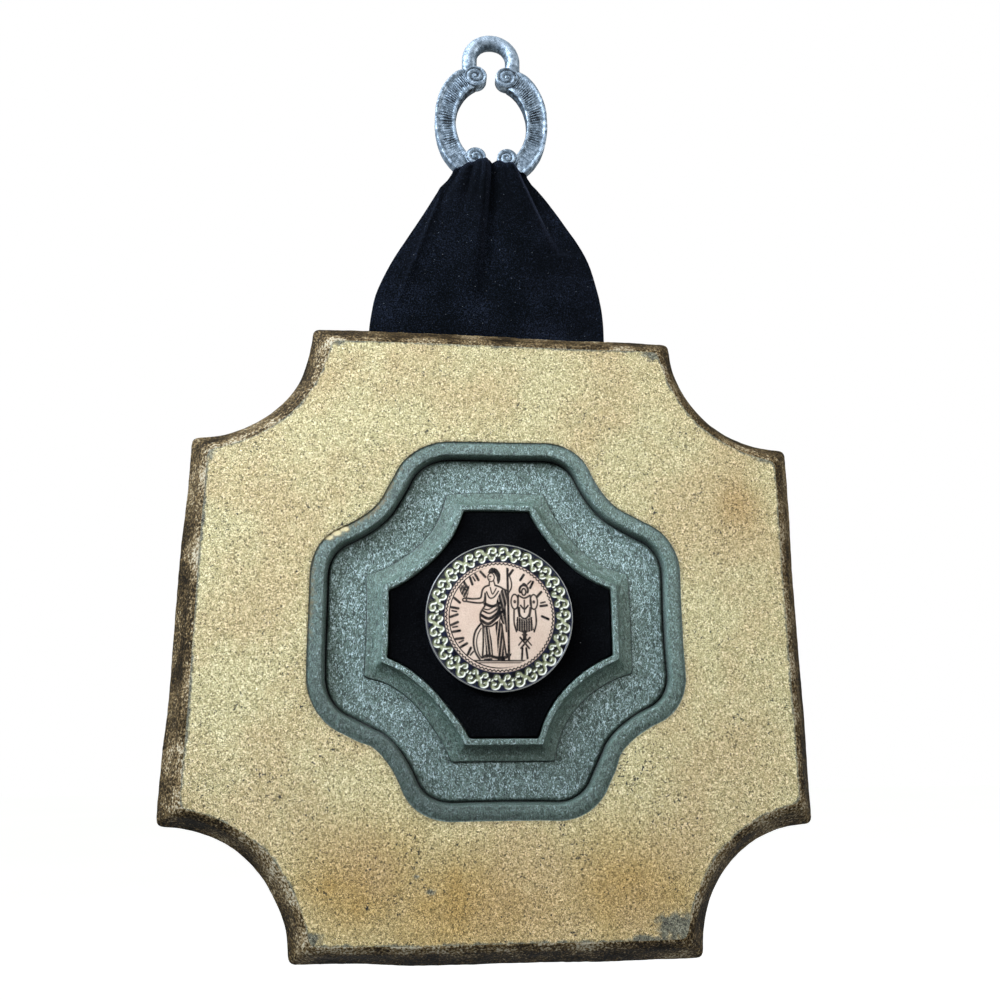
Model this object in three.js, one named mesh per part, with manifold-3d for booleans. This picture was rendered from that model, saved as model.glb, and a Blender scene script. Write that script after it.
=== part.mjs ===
// Medallion wall plaque on a velvet ribbon and a cast scroll ring.
//
// Millimetres, +Z up, the front faces -Y. The origin is the inner top of the
// hanging loop, halfway through the ring's depth. Every piece is drawn in the
// plane of the wall, x to the right, y up and z towards the viewer, and one
// group turns that plane upright.

import * as THREE from 'three';
import { mergeVertices } from 'three/addons/utils/BufferGeometryUtils.js';
import Module from 'manifold-3d';

const wasm = await Module();
wasm.setup();

// Fit between neighbouring pieces
const clearance = 0.3;

// Scroll ring
const ringWidth = 48.6;
const ringHeight = 56.7;
const ringDepth = 5;
const armWidth = 9.4;
const armEndWidth = 11.9;
const armRimWidth = 1.1;
const armDishDepth = 1.1;
const armRibCount = 17;
const armRibHeight = 0.4;
const dishLeast = 0.1;
const topVoluteRadius = 4.9;
const bottomVoluteRadius = 4.4;
const voluteSpread = 13.6;
const voluteSink = 0.5;
const voluteEyeRadius = 1.5;
const voluteEyeRise = 1.1;
const voluteRidgeWidth = 1.1;
const voluteRidgeRise = 1;
const voluteTurns = 1.4;

// Hanging loop
const loopHole = 11.9;
const loopStock = 7.1;
const loopRise = 29.4;

// Cross-bar that the ribbon goes round
const barStock = 3.8;
const barBow = 1.1;
const barSpread = 54;

// Velvet ribbon
const ribbonWidth = 97;
const ribbonGather = 31;
const ribbonBundle = 3.5;
const ribbonDouble = 2.4;
const ribbonDrop = 69.9;
const ribbonTuck = 25;
const ribbonShift = -1.4;
const ribbonFlare = 1.9;
const ribbonWrap = 80;
const ribbonFrontRound = 0.35;
const ribbonBackRound = 0.18;
const ribbonRoundPower = 4;
const pleatDepth = 2.6;
const pleatReach = 52;

// Folds across the ribbon: place and width as shares of its half width, and depth
const pleatFolds = [
  [0, 0.1, 1],
  [0.7, 0.09, 0.8],
  [-0.74, 0.12, 0.5],
];

// Board
const boardWidth = 240;
const boardDepth = 14;
const boardShift = 1.6;
const cornerScoopRadius = 43.7;
const cornerScoopShift = 1.9;
const edgeInset = 9;
const edgeBevel = 2.4;
const edgeLip = 2;
const rebateMargin = 0.6;

// Green surround
const surroundWidth = 140.4;
const surroundScoopRadius = 42.4;
const surroundScoopShift = 5.3;
const surroundCornerRadius = 20;
const creviceWidth = 0.4;
const creviceDepth = 0.5;
const bandWidth = 5.7;
const bandCrown = 0.3;
const bandDrop = 2.9;
const grooveWidth = 1.7;
const grooveSlope = 0.6;
const grooveDepth = 0.8;
const fieldDepth = 3.7;

// Moulding round the velvet
const mouldingWidth = 99.6;
const mouldingScoopRadius = 39.2;
const mouldingScoopShift = 7.4;
const filletHeight = 0.8;
const coveWidth = 6;
const ledgeWidth = 2;
const ledgeHeight = 1.4;

// Velvet panel and medallion
const panelThickness = 1.6;
const panelSink = 1;
const panelRound = 0.5;
const medallionWidth = 54.8;
const medallionEdge = 2.2;
const medallionDome = 1.6;
const medallionRim = 0.8;
const medallionLift = 1;

// Facets
const arcSteps = 4;
const straightSteps = 2;
const scoopSteps = 9;
const bandSteps = 5;
const coveSteps = 5;
const medallionSides = 44;
const domeSteps = 7;
const dishFadeSections = 3;
const tubeSides = 10;
const tubeSteps = 14;
const voluteSides = 18;
const eyeSides = 10;
const eyeRows = 4;
const spiralSteps = 16;
const spiralSides = 4;
const ribbonColumns = 24;
const ribbonBackColumns = 4;
const ribbonRows = 12;
const wrapRows = 4;

// Levels and centres that follow from the sizes above
const half = (size) => size / 2;
const quarterTurn = half(Math.PI);
const loopCentreY = -half(loopHole);
const ringCentreY = loopCentreY - loopRise;
const barY = ringCentreY - half(ringHeight) - barBow;
const boardTopY = barY - ribbonDrop;
const boardCentreY = boardTopY - half(boardWidth);
const wrapRadius = half(barStock) + clearance + ribbonBundle;
const wallZ = -(wrapRadius + clearance);
const boardFrontZ = wallZ + boardDepth;
const ledgeZ = boardFrontZ + ledgeHeight;
const panelFrontZ = ledgeZ - panelSink;
const panelBackZ = panelFrontZ - panelThickness;
const recessZ = panelBackZ - clearance;
const ribbonBackZ = wallZ + clearance;
const rebateZ = ribbonBackZ + ribbonDouble + clearance;

// A square with concave corners, or a quatrefoil when its lobes have rounded corners
const boardShape = {
  half: half(boardWidth),
  scoopCentre: half(boardWidth) - cornerScoopShift,
  scoopRadius: cornerScoopRadius,
  cornerRadius: 0,
};
const surroundShape = {
  half: half(surroundWidth),
  scoopCentre: half(surroundWidth) + surroundScoopShift,
  scoopRadius: surroundScoopRadius,
  cornerRadius: surroundCornerRadius,
};
const mouldingShape = {
  half: half(mouldingWidth),
  scoopCentre: half(mouldingWidth) + mouldingScoopShift,
  scoopRadius: mouldingScoopRadius,
  cornerRadius: 0,
};

function arc(centreX, centreY, radius, from, to, steps) {
  const points = [];
  for (let i = 0; i <= steps; i++) {
    const angle = from + ((to - from) * i) / steps;
    points.push([centreX + radius * Math.cos(angle), centreY + radius * Math.sin(angle)]);
  }
  return points;
}

function line(start, end, steps) {
  const points = [];
  for (let i = 0; i <= steps; i++) {
    const t = i / steps;
    points.push([start[0] + (end[0] - start[0]) * t, start[1] + (end[1] - start[1]) * t]);
  }
  return points;
}

// Right-hand side of a shape, from its lower scoop to its upper one
function sideOf(shape, inset) {
  const reach = shape.half - inset;
  const scoop = shape.scoopRadius + inset;
  const steps = 2 * arcSteps + straightSteps;
  if (shape.cornerRadius === 0) {
    const gap = shape.scoopCentre - reach;
    const cornerY = shape.scoopCentre - Math.sqrt(scoop * scoop - gap * gap);
    return line([reach, -cornerY], [reach, cornerY], steps);
  }
  const centreX = shape.half - shape.cornerRadius;
  const run = shape.scoopCentre - centreX;
  const reachToScoop = shape.scoopRadius + shape.cornerRadius;
  const rise = Math.sqrt(reachToScoop * reachToScoop - run * run);
  const centreY = shape.scoopCentre - rise;
  const turn = Math.atan2(rise, run);
  const radius = shape.cornerRadius - inset;
  return [
    ...arc(centreX, -centreY, radius, -turn, 0, arcSteps),
    ...line([reach, -centreY], [reach, centreY], straightSteps).slice(1, -1),
    ...arc(centreX, centreY, radius, 0, turn, arcSteps),
  ];
}

// Closed outline of a shape, as many points whatever the shape
function outlineOf(shape, inset) {
  const side = sideOf(shape, inset);
  const end = side[side.length - 1];
  const scoop = shape.scoopRadius + inset;
  const start = Math.atan2(end[1] - shape.scoopCentre, end[0] - shape.scoopCentre);
  const first = start + 2 * Math.PI;
  const last = 5 * quarterTurn - first;
  const bite = arc(shape.scoopCentre, shape.scoopCentre, scoop, first, last, scoopSteps);
  const quarter = [...side, ...bite.slice(1, -1)];
  const points = [];
  for (let turn = 0; turn < 4; turn++) {
    const cos = Math.round(Math.cos(turn * quarterTurn));
    const sin = Math.round(Math.sin(turn * quarterTurn));
    for (const [x, y] of quarter) points.push([x * cos - y * sin, x * sin + y * cos]);
  }
  return points;
}

// Volume inside a skin, negative when its faces point inwards
function volumeOf(positions, indices) {
  let volume = 0;
  for (let i = 0; i < indices.length; i += 3) {
    const [a, b, c] = indices.slice(i, i + 3).map((k) => new THREE.Vector3().fromArray(positions, 3 * k));
    volume += a.dot(b.cross(c)) / 6;
  }
  return volume;
}

// Skin over a row of loops that all have the same number of points, with flat ends
function loft(loops) {
  const count = loops[0].length;
  const positions = [];
  const indices = [];
  for (const loop of loops) {
    for (const point of loop) positions.push(point.x, point.y, point.z);
  }
  for (let row = 0; row + 1 < loops.length; row++) {
    for (let i = 0; i < count; i++) {
      const j = (i + 1) % count;
      const a = row * count + i;
      const b = row * count + j;
      indices.push(a, b, b + count, a, b + count, a + count);
    }
  }
  const addEnd = (row, flip) => {
    const middle = new THREE.Vector3();
    for (const point of loops[row]) middle.addScaledVector(point, 1 / count);
    const centre = positions.length / 3;
    positions.push(middle.x, middle.y, middle.z);
    for (let i = 0; i < count; i++) {
      const a = row * count + i;
      const b = row * count + ((i + 1) % count);
      if (flip) indices.push(centre, b, a);
      else indices.push(centre, a, b);
    }
  };
  addEnd(0, true);
  addEnd(loops.length - 1, false);
  if (volumeOf(positions, indices) < 0) indices.reverse();
  const geometry = new THREE.BufferGeometry();
  geometry.setAttribute('position', new THREE.Float32BufferAttribute(positions, 3));
  geometry.setIndex(indices);
  return geometry;
}

function levels(rows) {
  return rows.map(([shape, inset, z]) => outlineOf(shape, inset).map(([x, y]) => new THREE.Vector3(x, y, z)));
}

// Round bar along a flat path
function tube(path, radius) {
  const loops = path.map((point, i) => {
    const before = path[Math.max(i - 1, 0)];
    const after = path[Math.min(i + 1, path.length - 1)];
    const along = Math.atan2(after[1] - before[1], after[0] - before[0]);
    const loop = [];
    for (let k = 0; k < tubeSides; k++) {
      const angle = (2 * Math.PI * k) / tubeSides;
      const side = radius * Math.cos(angle);
      const x = point[0] - side * Math.sin(along);
      const y = point[1] + side * Math.cos(along);
      loop.push(new THREE.Vector3(x, y, radius * Math.sin(angle)));
    }
    return loop;
  });
  return loft(loops);
}

function solidOf(geometry) {
  const bare = geometry.clone();
  bare.deleteAttribute('normal');
  bare.deleteAttribute('uv');
  const merged = mergeVertices(bare);
  const mesh = new wasm.Mesh({
    numProp: 3,
    vertProperties: new Float32Array(merged.attributes.position.array),
    triVerts: new Uint32Array(merged.index.array),
  });
  return new wasm.Manifold(mesh);
}

function geometryOf(solid) {
  const mesh = solid.getMesh();
  const geometry = new THREE.BufferGeometry();
  geometry.setAttribute('position', new THREE.BufferAttribute(mesh.vertProperties, 3));
  geometry.setIndex(new THREE.BufferAttribute(mesh.triVerts, 1));
  geometry.computeVertexNormals();
  return geometry;
}

function joined(geometries) {
  return geometries.map(solidOf).reduce((sum, next) => sum.add(next));
}

// Board with its drafted edge, green surround and moulding, cast in one
function buildBoard() {
  const front = boardFrontZ;
  const bandTop = creviceWidth;
  const bandInner = bandTop + bandWidth;
  const fieldEdge = bandInner + grooveWidth;
  const fieldZ = front - fieldDepth;
  const rows = [
    [boardShape, 0, wallZ],
    [boardShape, 0, wallZ + edgeLip],
    [boardShape, edgeInset - edgeBevel, front - edgeBevel],
    [boardShape, edgeInset, front],
    [surroundShape, 0, front],
    [surroundShape, bandTop, front - creviceDepth],
  ];
  // The band rises from its crevice to a crown and rolls over into the groove
  for (let i = 1; i <= bandSteps; i++) {
    const t = i / bandSteps;
    const roll = bandCrown * Math.sin(Math.PI * Math.sqrt(t)) - creviceDepth * (1 - t) * (1 - t);
    rows.push([surroundShape, bandTop + bandWidth * t, front + roll - bandDrop * t * t * t]);
  }
  rows.push([surroundShape, bandInner + grooveSlope, fieldZ - grooveDepth]);
  rows.push([surroundShape, fieldEdge - grooveSlope, fieldZ - grooveDepth]);
  rows.push([surroundShape, fieldEdge, fieldZ]);
  rows.push([mouldingShape, 0, fieldZ]);
  // A fillet, then a cove that steepens up to the ledge
  const coveFoot = fieldZ + filletHeight;
  for (let i = 0; i <= coveSteps; i++) {
    const angle = quarterTurn * (i / coveSteps);
    const inset = clearance + (coveWidth - clearance) * Math.sin(angle);
    rows.push([mouldingShape, inset, coveFoot + (ledgeZ - coveFoot) * (1 - Math.cos(angle))]);
  }
  rows.push([mouldingShape, coveWidth + ledgeWidth, ledgeZ]);
  rows.push([mouldingShape, coveWidth + ledgeWidth + clearance, recessZ]);
  const board = solidOf(loft(levels(rows)));

  // Shallow rebate in the back for the ribbon's tail
  const rebateWidth = ribbonWidth + 2 * rebateMargin;
  const rebateHeight = ribbonTuck + boardDepth;
  const rebateDepth = rebateZ - wallZ + boardDepth;
  const rebateFoot = half(boardWidth) - ribbonTuck - clearance;
  const rebate = new THREE.BoxGeometry(rebateWidth, rebateHeight, rebateDepth);
  const rebateX = ribbonShift - boardShift;
  rebate.translate(rebateX, rebateFoot + half(rebateHeight), rebateZ - half(rebateDepth));
  return geometryOf(board.subtract(solidOf(rebate)));
}

// Velvet panel let into the moulding
function buildPanel() {
  const edge = coveWidth + ledgeWidth + 2 * clearance;
  return loft(levels([
    [mouldingShape, edge, panelBackZ],
    [mouldingShape, edge, panelFrontZ - panelRound],
    [mouldingShape, edge + panelRound, panelFrontZ],
  ]));
}

// Low-domed disc with a thin raised rim
function buildMedallion() {
  const radius = half(medallionWidth);
  const backZ = panelFrontZ + clearance;
  const rimZ = backZ + medallionEdge;
  const profile = [
    new THREE.Vector2(0, backZ),
    new THREE.Vector2(radius - half(medallionRim), backZ),
    new THREE.Vector2(radius, backZ + half(medallionRim)),
    new THREE.Vector2(radius, rimZ - half(medallionRim)),
    new THREE.Vector2(radius - half(medallionRim), rimZ),
  ];
  const domeRadius = radius - medallionRim;
  for (let i = 0; i <= domeSteps; i++) {
    const share = 1 - i / domeSteps;
    const z = rimZ - clearance + medallionDome * (1 - share * share);
    profile.push(new THREE.Vector2(domeRadius * share, z));
  }
  const disc = new THREE.LatheGeometry(profile, medallionSides);
  disc.rotateX(quarterTurn);
  return geometryOf(solidOf(disc));
}

// One arm of the ring: a dished band between two ellipses, ribbed across
function armSolid(side, grow) {
  const outerX = half(ringWidth) + grow;
  const outerY = half(ringHeight) + grow;
  const width = armWidth + 2 * grow;
  const endWidth = armEndWidth + 2 * grow;
  const reach = Math.acos((half(voluteSpread) - grow) / (outerX - width));
  const front = half(ringDepth) + grow;
  const rim = armRimWidth / armWidth;
  const sections = 2 * armRibCount;
  const loops = [];
  for (let i = 0; i <= sections; i++) {
    const angle = reach - (2 * reach * i) / sections;
    const rib = i % 2 === 0 ? 0 : armRibHeight;
    const fade = Math.min(1, Math.min(i, sections - i) / dishFadeSections);
    const floor = front - Math.max(armDishDepth * fade - rib, dishLeast);
    const profile = [
      [0, -front],
      [1, -front],
      [1, front - half(armRimWidth)],
      [1 - half(rim), front],
      [1 - rim, front],
      [1 - 2 * rim, floor],
      [2 * rim, floor],
      [rim, front],
      [half(rim), front],
      [0, front - half(armRimWidth)],
    ];
    loops.push(profile.map(([share, z]) => {
      const x = (outerX - width + width * share) * Math.cos(angle);
      const y = (outerY - endWidth + endWidth * share) * Math.sin(angle);
      return new THREE.Vector3(side * x, ringCentreY + y, z);
    }));
  }
  return solidOf(loft(loops));
}

// Volute: a short drum with a spiral ridge and a round eye
function voluteSolid(side, end, radius, grow) {
  const faceZ = half(ringDepth) - voluteSink;
  const x = side * half(voluteSpread);
  const y = ringCentreY + end * (half(ringHeight) - armEndWidth + radius);
  const drum = new THREE.LatheGeometry([
    new THREE.Vector2(0, -half(ringDepth) - grow),
    new THREE.Vector2(radius + grow, -half(ringDepth) - grow),
    new THREE.Vector2(radius + grow, faceZ + grow),
    new THREE.Vector2(0, faceZ + grow),
  ], voluteSides);
  drum.rotateX(quarterTurn);
  drum.translate(x, y, 0);
  const start = radius - half(voluteRidgeWidth);
  const loops = [];
  for (let i = 0; i <= spiralSteps; i++) {
    const t = i / spiralSteps;
    const angle = 2 * Math.PI * voluteTurns * t;
    const reach = start + (voluteEyeRadius - start) * t;
    const loop = [];
    for (let k = 0; k < spiralSides; k++) {
      const corner = (2 * Math.PI * k) / spiralSides;
      const out = reach + (half(voluteRidgeWidth) + grow) * Math.cos(corner);
      const lift = (voluteRidgeRise + grow) * Math.sin(corner);
      const spiralX = x - side * out * Math.cos(angle);
      const spiralY = y + end * out * Math.sin(angle);
      loop.push(new THREE.Vector3(spiralX, spiralY, faceZ + lift));
    }
    loops.push(loop);
  }
  const eye = new THREE.SphereGeometry(voluteEyeRadius, eyeSides, eyeRows);
  eye.scale(1, 1, (voluteEyeRise + grow) / voluteEyeRadius);
  eye.translate(x, y, faceZ);
  return joined([drum, loft(loops), eye]);
}

function loopPath() {
  const radius = half(loopHole) + half(loopStock);
  const footY = ringCentreY + half(ringHeight) - half(armEndWidth);
  return [
    [radius, footY],
    ...arc(0, loopCentreY, radius, 0, Math.PI, tubeSteps),
    [-radius, footY],
  ];
}

function barPath() {
  const radiusX = half(ringWidth) - half(barStock);
  const radiusY = half(ringHeight) + barBow;
  const points = [];
  const spread = THREE.MathUtils.degToRad(barSpread);
  for (let i = 0; i <= tubeSteps; i++) {
    const angle = -quarterTurn - spread + (2 * spread * i) / tubeSteps;
    points.push([radiusX * Math.cos(angle), ringCentreY + radiusY * Math.sin(angle)]);
  }
  return points;
}

// The whole ring, or the room it needs when it is grown by a clearance
function ringSolid(grow) {
  let solid = armSolid(1, grow).add(armSolid(-1, grow));
  solid = solid.add(solidOf(tube(loopPath(), half(loopStock) + grow)));
  solid = solid.add(solidOf(tube(barPath(), half(barStock) + grow)));
  for (const side of [-1, 1]) {
    solid = solid.add(voluteSolid(side, 1, topVoluteRadius, grow));
    solid = solid.add(voluteSolid(side, -1, bottomVoluteRadius, grow));
  }
  return solid;
}

// Cross-section of the ribbon: pleated in front, flat behind
function ribbonLoop(y, halfWidth, frontZ, backZ, pleat) {
  const loop = [];
  const roundDepth = pleat * (frontZ - backZ);
  const depthAt = (s) => {
    const roundOff = ribbonFrontRound * roundDepth * Math.pow(Math.abs(s), ribbonRoundPower);
    const folds = pleatFolds.reduce((sum, [at, width, share]) => {
      const away = (s - at) / width;
      return sum + share * Math.exp(-away * away);
    }, 0);
    return roundOff + pleatDepth * pleat * folds;
  };
  for (let i = 0; i <= ribbonColumns; i++) {
    const s = -1 + (2 * i) / ribbonColumns;
    loop.push(new THREE.Vector3(ribbonShift + s * halfWidth, y, frontZ - depthAt(s)));
  }
  for (let i = 0; i <= ribbonBackColumns; i++) {
    const s = 1 - (2 * i) / ribbonBackColumns;
    const roundOff = ribbonBackRound * roundDepth * Math.abs(s);
    loop.push(new THREE.Vector3(ribbonShift + s * halfWidth, y, backZ + roundOff));
  }
  return loop;
}

// Ribbon doubled over the cross-bar, gathered there and spread behind the board
function buildRibbon() {
  const tailZ = ribbonBackZ + ribbonDouble;
  const loops = [
    ribbonLoop(boardTopY - ribbonTuck, half(ribbonWidth), tailZ, ribbonBackZ, 0),
    ribbonLoop(boardTopY, half(ribbonWidth), tailZ, ribbonBackZ, 0),
  ];
  for (let i = 1; i <= ribbonRows; i++) {
    const t = i / ribbonRows;
    const spread = 1 - Math.pow(t, ribbonFlare);
    const halfWidth = half(ribbonGather) + half(ribbonWidth - ribbonGather) * spread;
    const frontZ = tailZ + (wrapRadius - tailZ) * t;
    const pleat = Math.max(0, 1 - ((1 - t) * ribbonDrop) / pleatReach);
    loops.push(ribbonLoop(boardTopY + ribbonDrop * t, halfWidth, frontZ, ribbonBackZ, pleat));
  }
  const wrapTurn = THREE.MathUtils.degToRad(ribbonWrap);
  for (let i = 1; i <= wrapRows; i++) {
    const angle = (wrapTurn * i) / wrapRows;
    const reach = wrapRadius * Math.cos(angle);
    const y = barY + wrapRadius * Math.sin(angle);
    const halfWidth = half(ribbonGather) - ribbonBundle * half(1 - Math.cos(angle));
    loops.push(ribbonLoop(y, halfWidth, reach, -reach, half(Math.cos(angle))));
  }
  const ribbon = solidOf(loft(loops));
  return geometryOf(ribbon.subtract(ringSolid(clearance)));
}

const finishes = {
  gilding: new THREE.MeshStandardMaterial({ color: 0xc8b483, roughness: 0.6, metalness: 0.35 }),
  panelVelvet: new THREE.MeshStandardMaterial({ color: 0x0d0e14, roughness: 0.95, metalness: 0 }),
  printedDisc: new THREE.MeshStandardMaterial({ color: 0xd8c2b6, roughness: 0.2, metalness: 0 }),
  ribbonVelvet: new THREE.MeshStandardMaterial({ color: 0x2b2f3c, roughness: 0.95, metalness: 0 }),
  castPewter: new THREE.MeshStandardMaterial({ color: 0x8f979e, roughness: 0.4, metalness: 0.9 }),
};

function piece(name, geometry, material) {
  const mesh = new THREE.Mesh(geometry, material);
  mesh.name = name;
  return mesh;
}

const plaque = new THREE.Group();
plaque.rotation.x = quarterTurn;
plaque.add(piece('hanger_ring', geometryOf(ringSolid(0)), finishes.castPewter));
plaque.add(piece('velvet_ribbon', buildRibbon(), finishes.ribbonVelvet));

// The board and what it carries are drawn round its own centre, which hangs a
// little to the right of the loop
const boardGroup = new THREE.Group();
boardGroup.position.set(boardShift, boardCentreY, 0);
boardGroup.add(piece('plaque_board', buildBoard(), finishes.gilding));
boardGroup.add(piece('velvet_panel', buildPanel(), finishes.panelVelvet));
const medallion = piece('medallion', buildMedallion(), finishes.printedDisc);
medallion.position.y = medallionLift;
boardGroup.add(medallion);
plaque.add(boardGroup);

const root = new THREE.Group();
root.add(plaque);

export default root;
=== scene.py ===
import math
from functools import partial

import bpy
import numpy as np
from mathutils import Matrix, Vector


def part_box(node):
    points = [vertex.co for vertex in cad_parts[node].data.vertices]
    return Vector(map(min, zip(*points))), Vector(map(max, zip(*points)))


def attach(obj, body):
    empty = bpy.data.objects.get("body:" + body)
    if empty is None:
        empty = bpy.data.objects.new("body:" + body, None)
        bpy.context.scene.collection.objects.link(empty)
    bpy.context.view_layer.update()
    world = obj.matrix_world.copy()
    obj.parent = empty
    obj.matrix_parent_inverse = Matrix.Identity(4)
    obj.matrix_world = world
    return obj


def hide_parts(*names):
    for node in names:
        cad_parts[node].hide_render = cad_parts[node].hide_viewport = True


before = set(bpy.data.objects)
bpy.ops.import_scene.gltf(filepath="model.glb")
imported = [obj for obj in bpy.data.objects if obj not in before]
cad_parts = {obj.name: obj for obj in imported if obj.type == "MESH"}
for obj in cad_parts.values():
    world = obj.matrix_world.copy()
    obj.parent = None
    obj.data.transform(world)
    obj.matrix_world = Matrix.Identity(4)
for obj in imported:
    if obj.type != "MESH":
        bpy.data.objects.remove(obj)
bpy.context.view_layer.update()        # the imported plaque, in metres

# Medallion wall plaque: a gilded board with a green surround, a velvet panel and a
# printed medallion, hung by a velvet ribbon from a cast pewter ring.
# Pieces are drawn in the plane of the wall, in mm: x right, y up, z towards the viewer.

print("frame loaded:", ", ".join(sorted(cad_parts)))

mm = 0.001
fullTurn = 2 * math.pi
quarterTurn = fullTurn / 4


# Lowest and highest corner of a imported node, in the wall's plane, in mm
def placeOf(node):
    low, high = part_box(node)
    return np.array([low[0], low[2], -high[1]]) / mm, np.array([high[0], high[2], -low[1]]) / mm


# sRGB hex to the linear colour that the sockets take
def linear(hexColour):
    channels = [int(hexColour[i:i + 2], 16) / 255 for i in (1, 3, 5)]
    return [c / 12.92 if c <= 0.04045 else ((c + 0.055) / 1.055) ** 2.4 for c in channels] + [1.0]


# How many times a pattern of that size in mm repeats in a metre
def perMetre(size):
    return 1 / (size * mm)


# Smooth random field, about -1 to 1, with bumps of about wave mm
def ripple(points, wave, seed):
    table = np.random.RandomState(seed).uniform(-1, 1, 4096)
    at = points / wave + 1000
    cell = np.floor(at).astype(np.int64)
    part = at - cell
    part = part * part * (3 - 2 * part)
    total = np.zeros(len(points))
    for corner in range(8):
        step = np.array([corner & 1, corner >> 1 & 1, corner >> 2 & 1])
        spot = cell + step
        key = (spot[:, 0] * 73856093) ^ (spot[:, 1] * 19349663) ^ (spot[:, 2] * 83492791)
        total += np.prod(np.where(step == 1, part, 1 - part), axis=1) * table[key % 4096]
    return total


# 0 below low, 1 above high, smooth between
def smooth(low, high, value):
    t = np.clip((value - low) / (high - low), 0, 1)
    return t * t * (3 - 2 * t)


# Quads between the rows of a grid, whose rows close on themselves or not
def gridFaces(rowCount, count, closed=True):
    row, column = np.mgrid[:rowCount - 1, :count if closed else count - 1]
    here, after = row * count + column, row * count + (column + 1) % count
    return np.stack([here, after, after + count, here + count], axis=-1).reshape(-1, 4)


# Triangles from a loop of points to one middle point, written as quads with a repeated corner
def fanFaces(first, count, middle):
    a = np.arange(count)
    return np.stack([first + a, first + (a + 1) % count, middle + 0 * a, middle + 0 * a], axis=-1)


# A stack of closed rows with both ends closed by fans, whose middles come after the rows
def cappedFaces(rowCount, count):
    total = rowCount * count
    ends = [fanFaces(0, count, total)[:, [1, 0, 2, 3]], fanFaces(total - count, count, total + 1)]
    return np.concatenate([gridFaces(rowCount, count), *ends])


# Unit normals at the points, from the faces round them
def normalsOf(points, faces):
    across = points[faces[:, 2]] - points[faces[:, 0]]
    along = points[faces[:, 3]] - points[faces[:, 1]]
    total = np.zeros_like(points)
    for corner in range(4):
        np.add.at(total, faces[:, corner], np.cross(across, along))
    return total / np.maximum(np.linalg.norm(total, axis=1), 1e-12)[:, None]


# Faces turned so that they point out of the body
def facingOut(points, faces):
    a, b, c, d = (points[faces[:, k]] for k in range(4))
    volume = np.sum(a * (np.cross(b, c) + np.cross(c, d)))
    return faces if volume > 0 else faces[:, ::-1]


# A Blender object from points in mm
def makeObject(name, points, faces, finishes):
    mesh = bpy.data.meshes.new(name)
    upright = np.stack([points[:, 0], -points[:, 2], points[:, 1]], axis=1) * mm
    mesh.from_pydata(upright.tolist(), [], faces)
    for finish in finishes:
        mesh.materials.append(finish)
    made = bpy.data.objects.new(name, mesh)
    bpy.context.scene.collection.objects.link(made)
    return made


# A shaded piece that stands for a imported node
def makePiece(name, points, faces, finishes, node, faceFinish=None, shades=None):
    rings = [list(dict.fromkeys(face)) for face in facingOut(points, faces).tolist()]
    piece = makeObject(name, points, rings, finishes)
    mesh = piece.data
    mesh.polygons.foreach_set("use_smooth", [True] * len(rings))
    if faceFinish is not None:
        mesh.polygons.foreach_set("material_index", np.asarray(faceFinish, dtype=np.int32))
    for shade, values in (shades or {}).items():
        kind, field = ("FLOAT", "value") if values.ndim == 1 else ("FLOAT_COLOR", "color")
        layer = mesh.attributes.new(shade, kind, "POINT")
        layer.data.foreach_set(field, np.ascontiguousarray(values, dtype=np.float32).ravel())
    mesh.update()
    mesh.validate()
    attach(piece, "root")
    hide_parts(node)
    print(f"{name}: {len(mesh.vertices)} points, {len(mesh.polygons)} faces")
    return piece


# Gives a node its settings and links what feeds it
def feed(node, settings=None, links=None):
    for key, value in (settings or {}).items():
        if key == "ramp":
            elements = node.color_ramp.elements
            while len(elements) < len(value):
                elements.new(0.5)
            for element, (position, colour) in zip(elements, value):
                element.position = position
                element.color = linear(colour)
        elif isinstance(key, str) and hasattr(node, key):
            setattr(node, key, value)
        else:
            node.inputs[key].default_value = linear(value) if isinstance(value, str) else value
    for key, source in (links or {}).items():
        node.id_data.links.new(source, node.inputs[key])


# Adds a node and gives back one of its outputs
def addNode(tree, kind, settings=None, links=None, out=0):
    node = tree.nodes.new("ShaderNode" + kind)
    feed(node, settings, links)
    return node.outputs[out]


# A new material: what adds a node to it, its Principled shader and its noises, each from a
# size in mm, a detail, a roughness and a distortion
def newFinish(name, noises):
    finish = bpy.data.materials.new(name)
    finish.use_nodes = True
    add = partial(addNode, finish.node_tree)
    place = add("TexCoord", out="Object")
    keys = ("Detail", "Roughness", "Distortion")
    fields = [add("TexNoise", {"Scale": perMetre(size), **dict(zip(keys, rest))}, {"Vector": place})
              for size, *rest in noises]
    return finish, add, finish.node_tree.nodes["Principled BSDF"], fields


# The board

boardForm = {
    "arcSteps": 34, "straightSteps": 50, "scoopSteps": 52, "cornerSoftening": 5,
    "edgeInset": 9, "edgeBevel": 2.4, "edgeLip": 2, "creviceWidth": 0.4,
    "bandWidth": 5.7, "bandCrown": 0.3, "bandLean": 0.5, "bandDrop": 2.9,
    "grooveWidth": 1.7, "grooveDepth": 0.8, "fieldDepth": 3.7, "filletHeight": 0.8,
    "coveWidth": 6, "ledgeWidth": 2, "ledgeHeight": 1.4, "panelGap": 0.3, "recessDepth": 2.9,
    "rebateWidth": 98.2, "rebateHeight": 25.3, "rebateDepth": 3, "rebateShift": -3,
}

boardLow, boardHigh = placeOf("plaque_board")
boardCentre = (boardLow + boardHigh) / 2
seat = [boardCentre[0], boardCentre[1], 0]
wallZ, ledgeZ = boardLow[2], boardHigh[2]
frontZ = ledgeZ - boardForm["ledgeHeight"]


# A square with concave corners, or a quatrefoil where its lobes have round corners
def shapeOf(width, scoopShift, scoopRadius, corner=0):
    half = width / 2
    return {"half": half, "scoopCentre": half + scoopShift, "scoopRadius": scoopRadius, "corner": corner}


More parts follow.
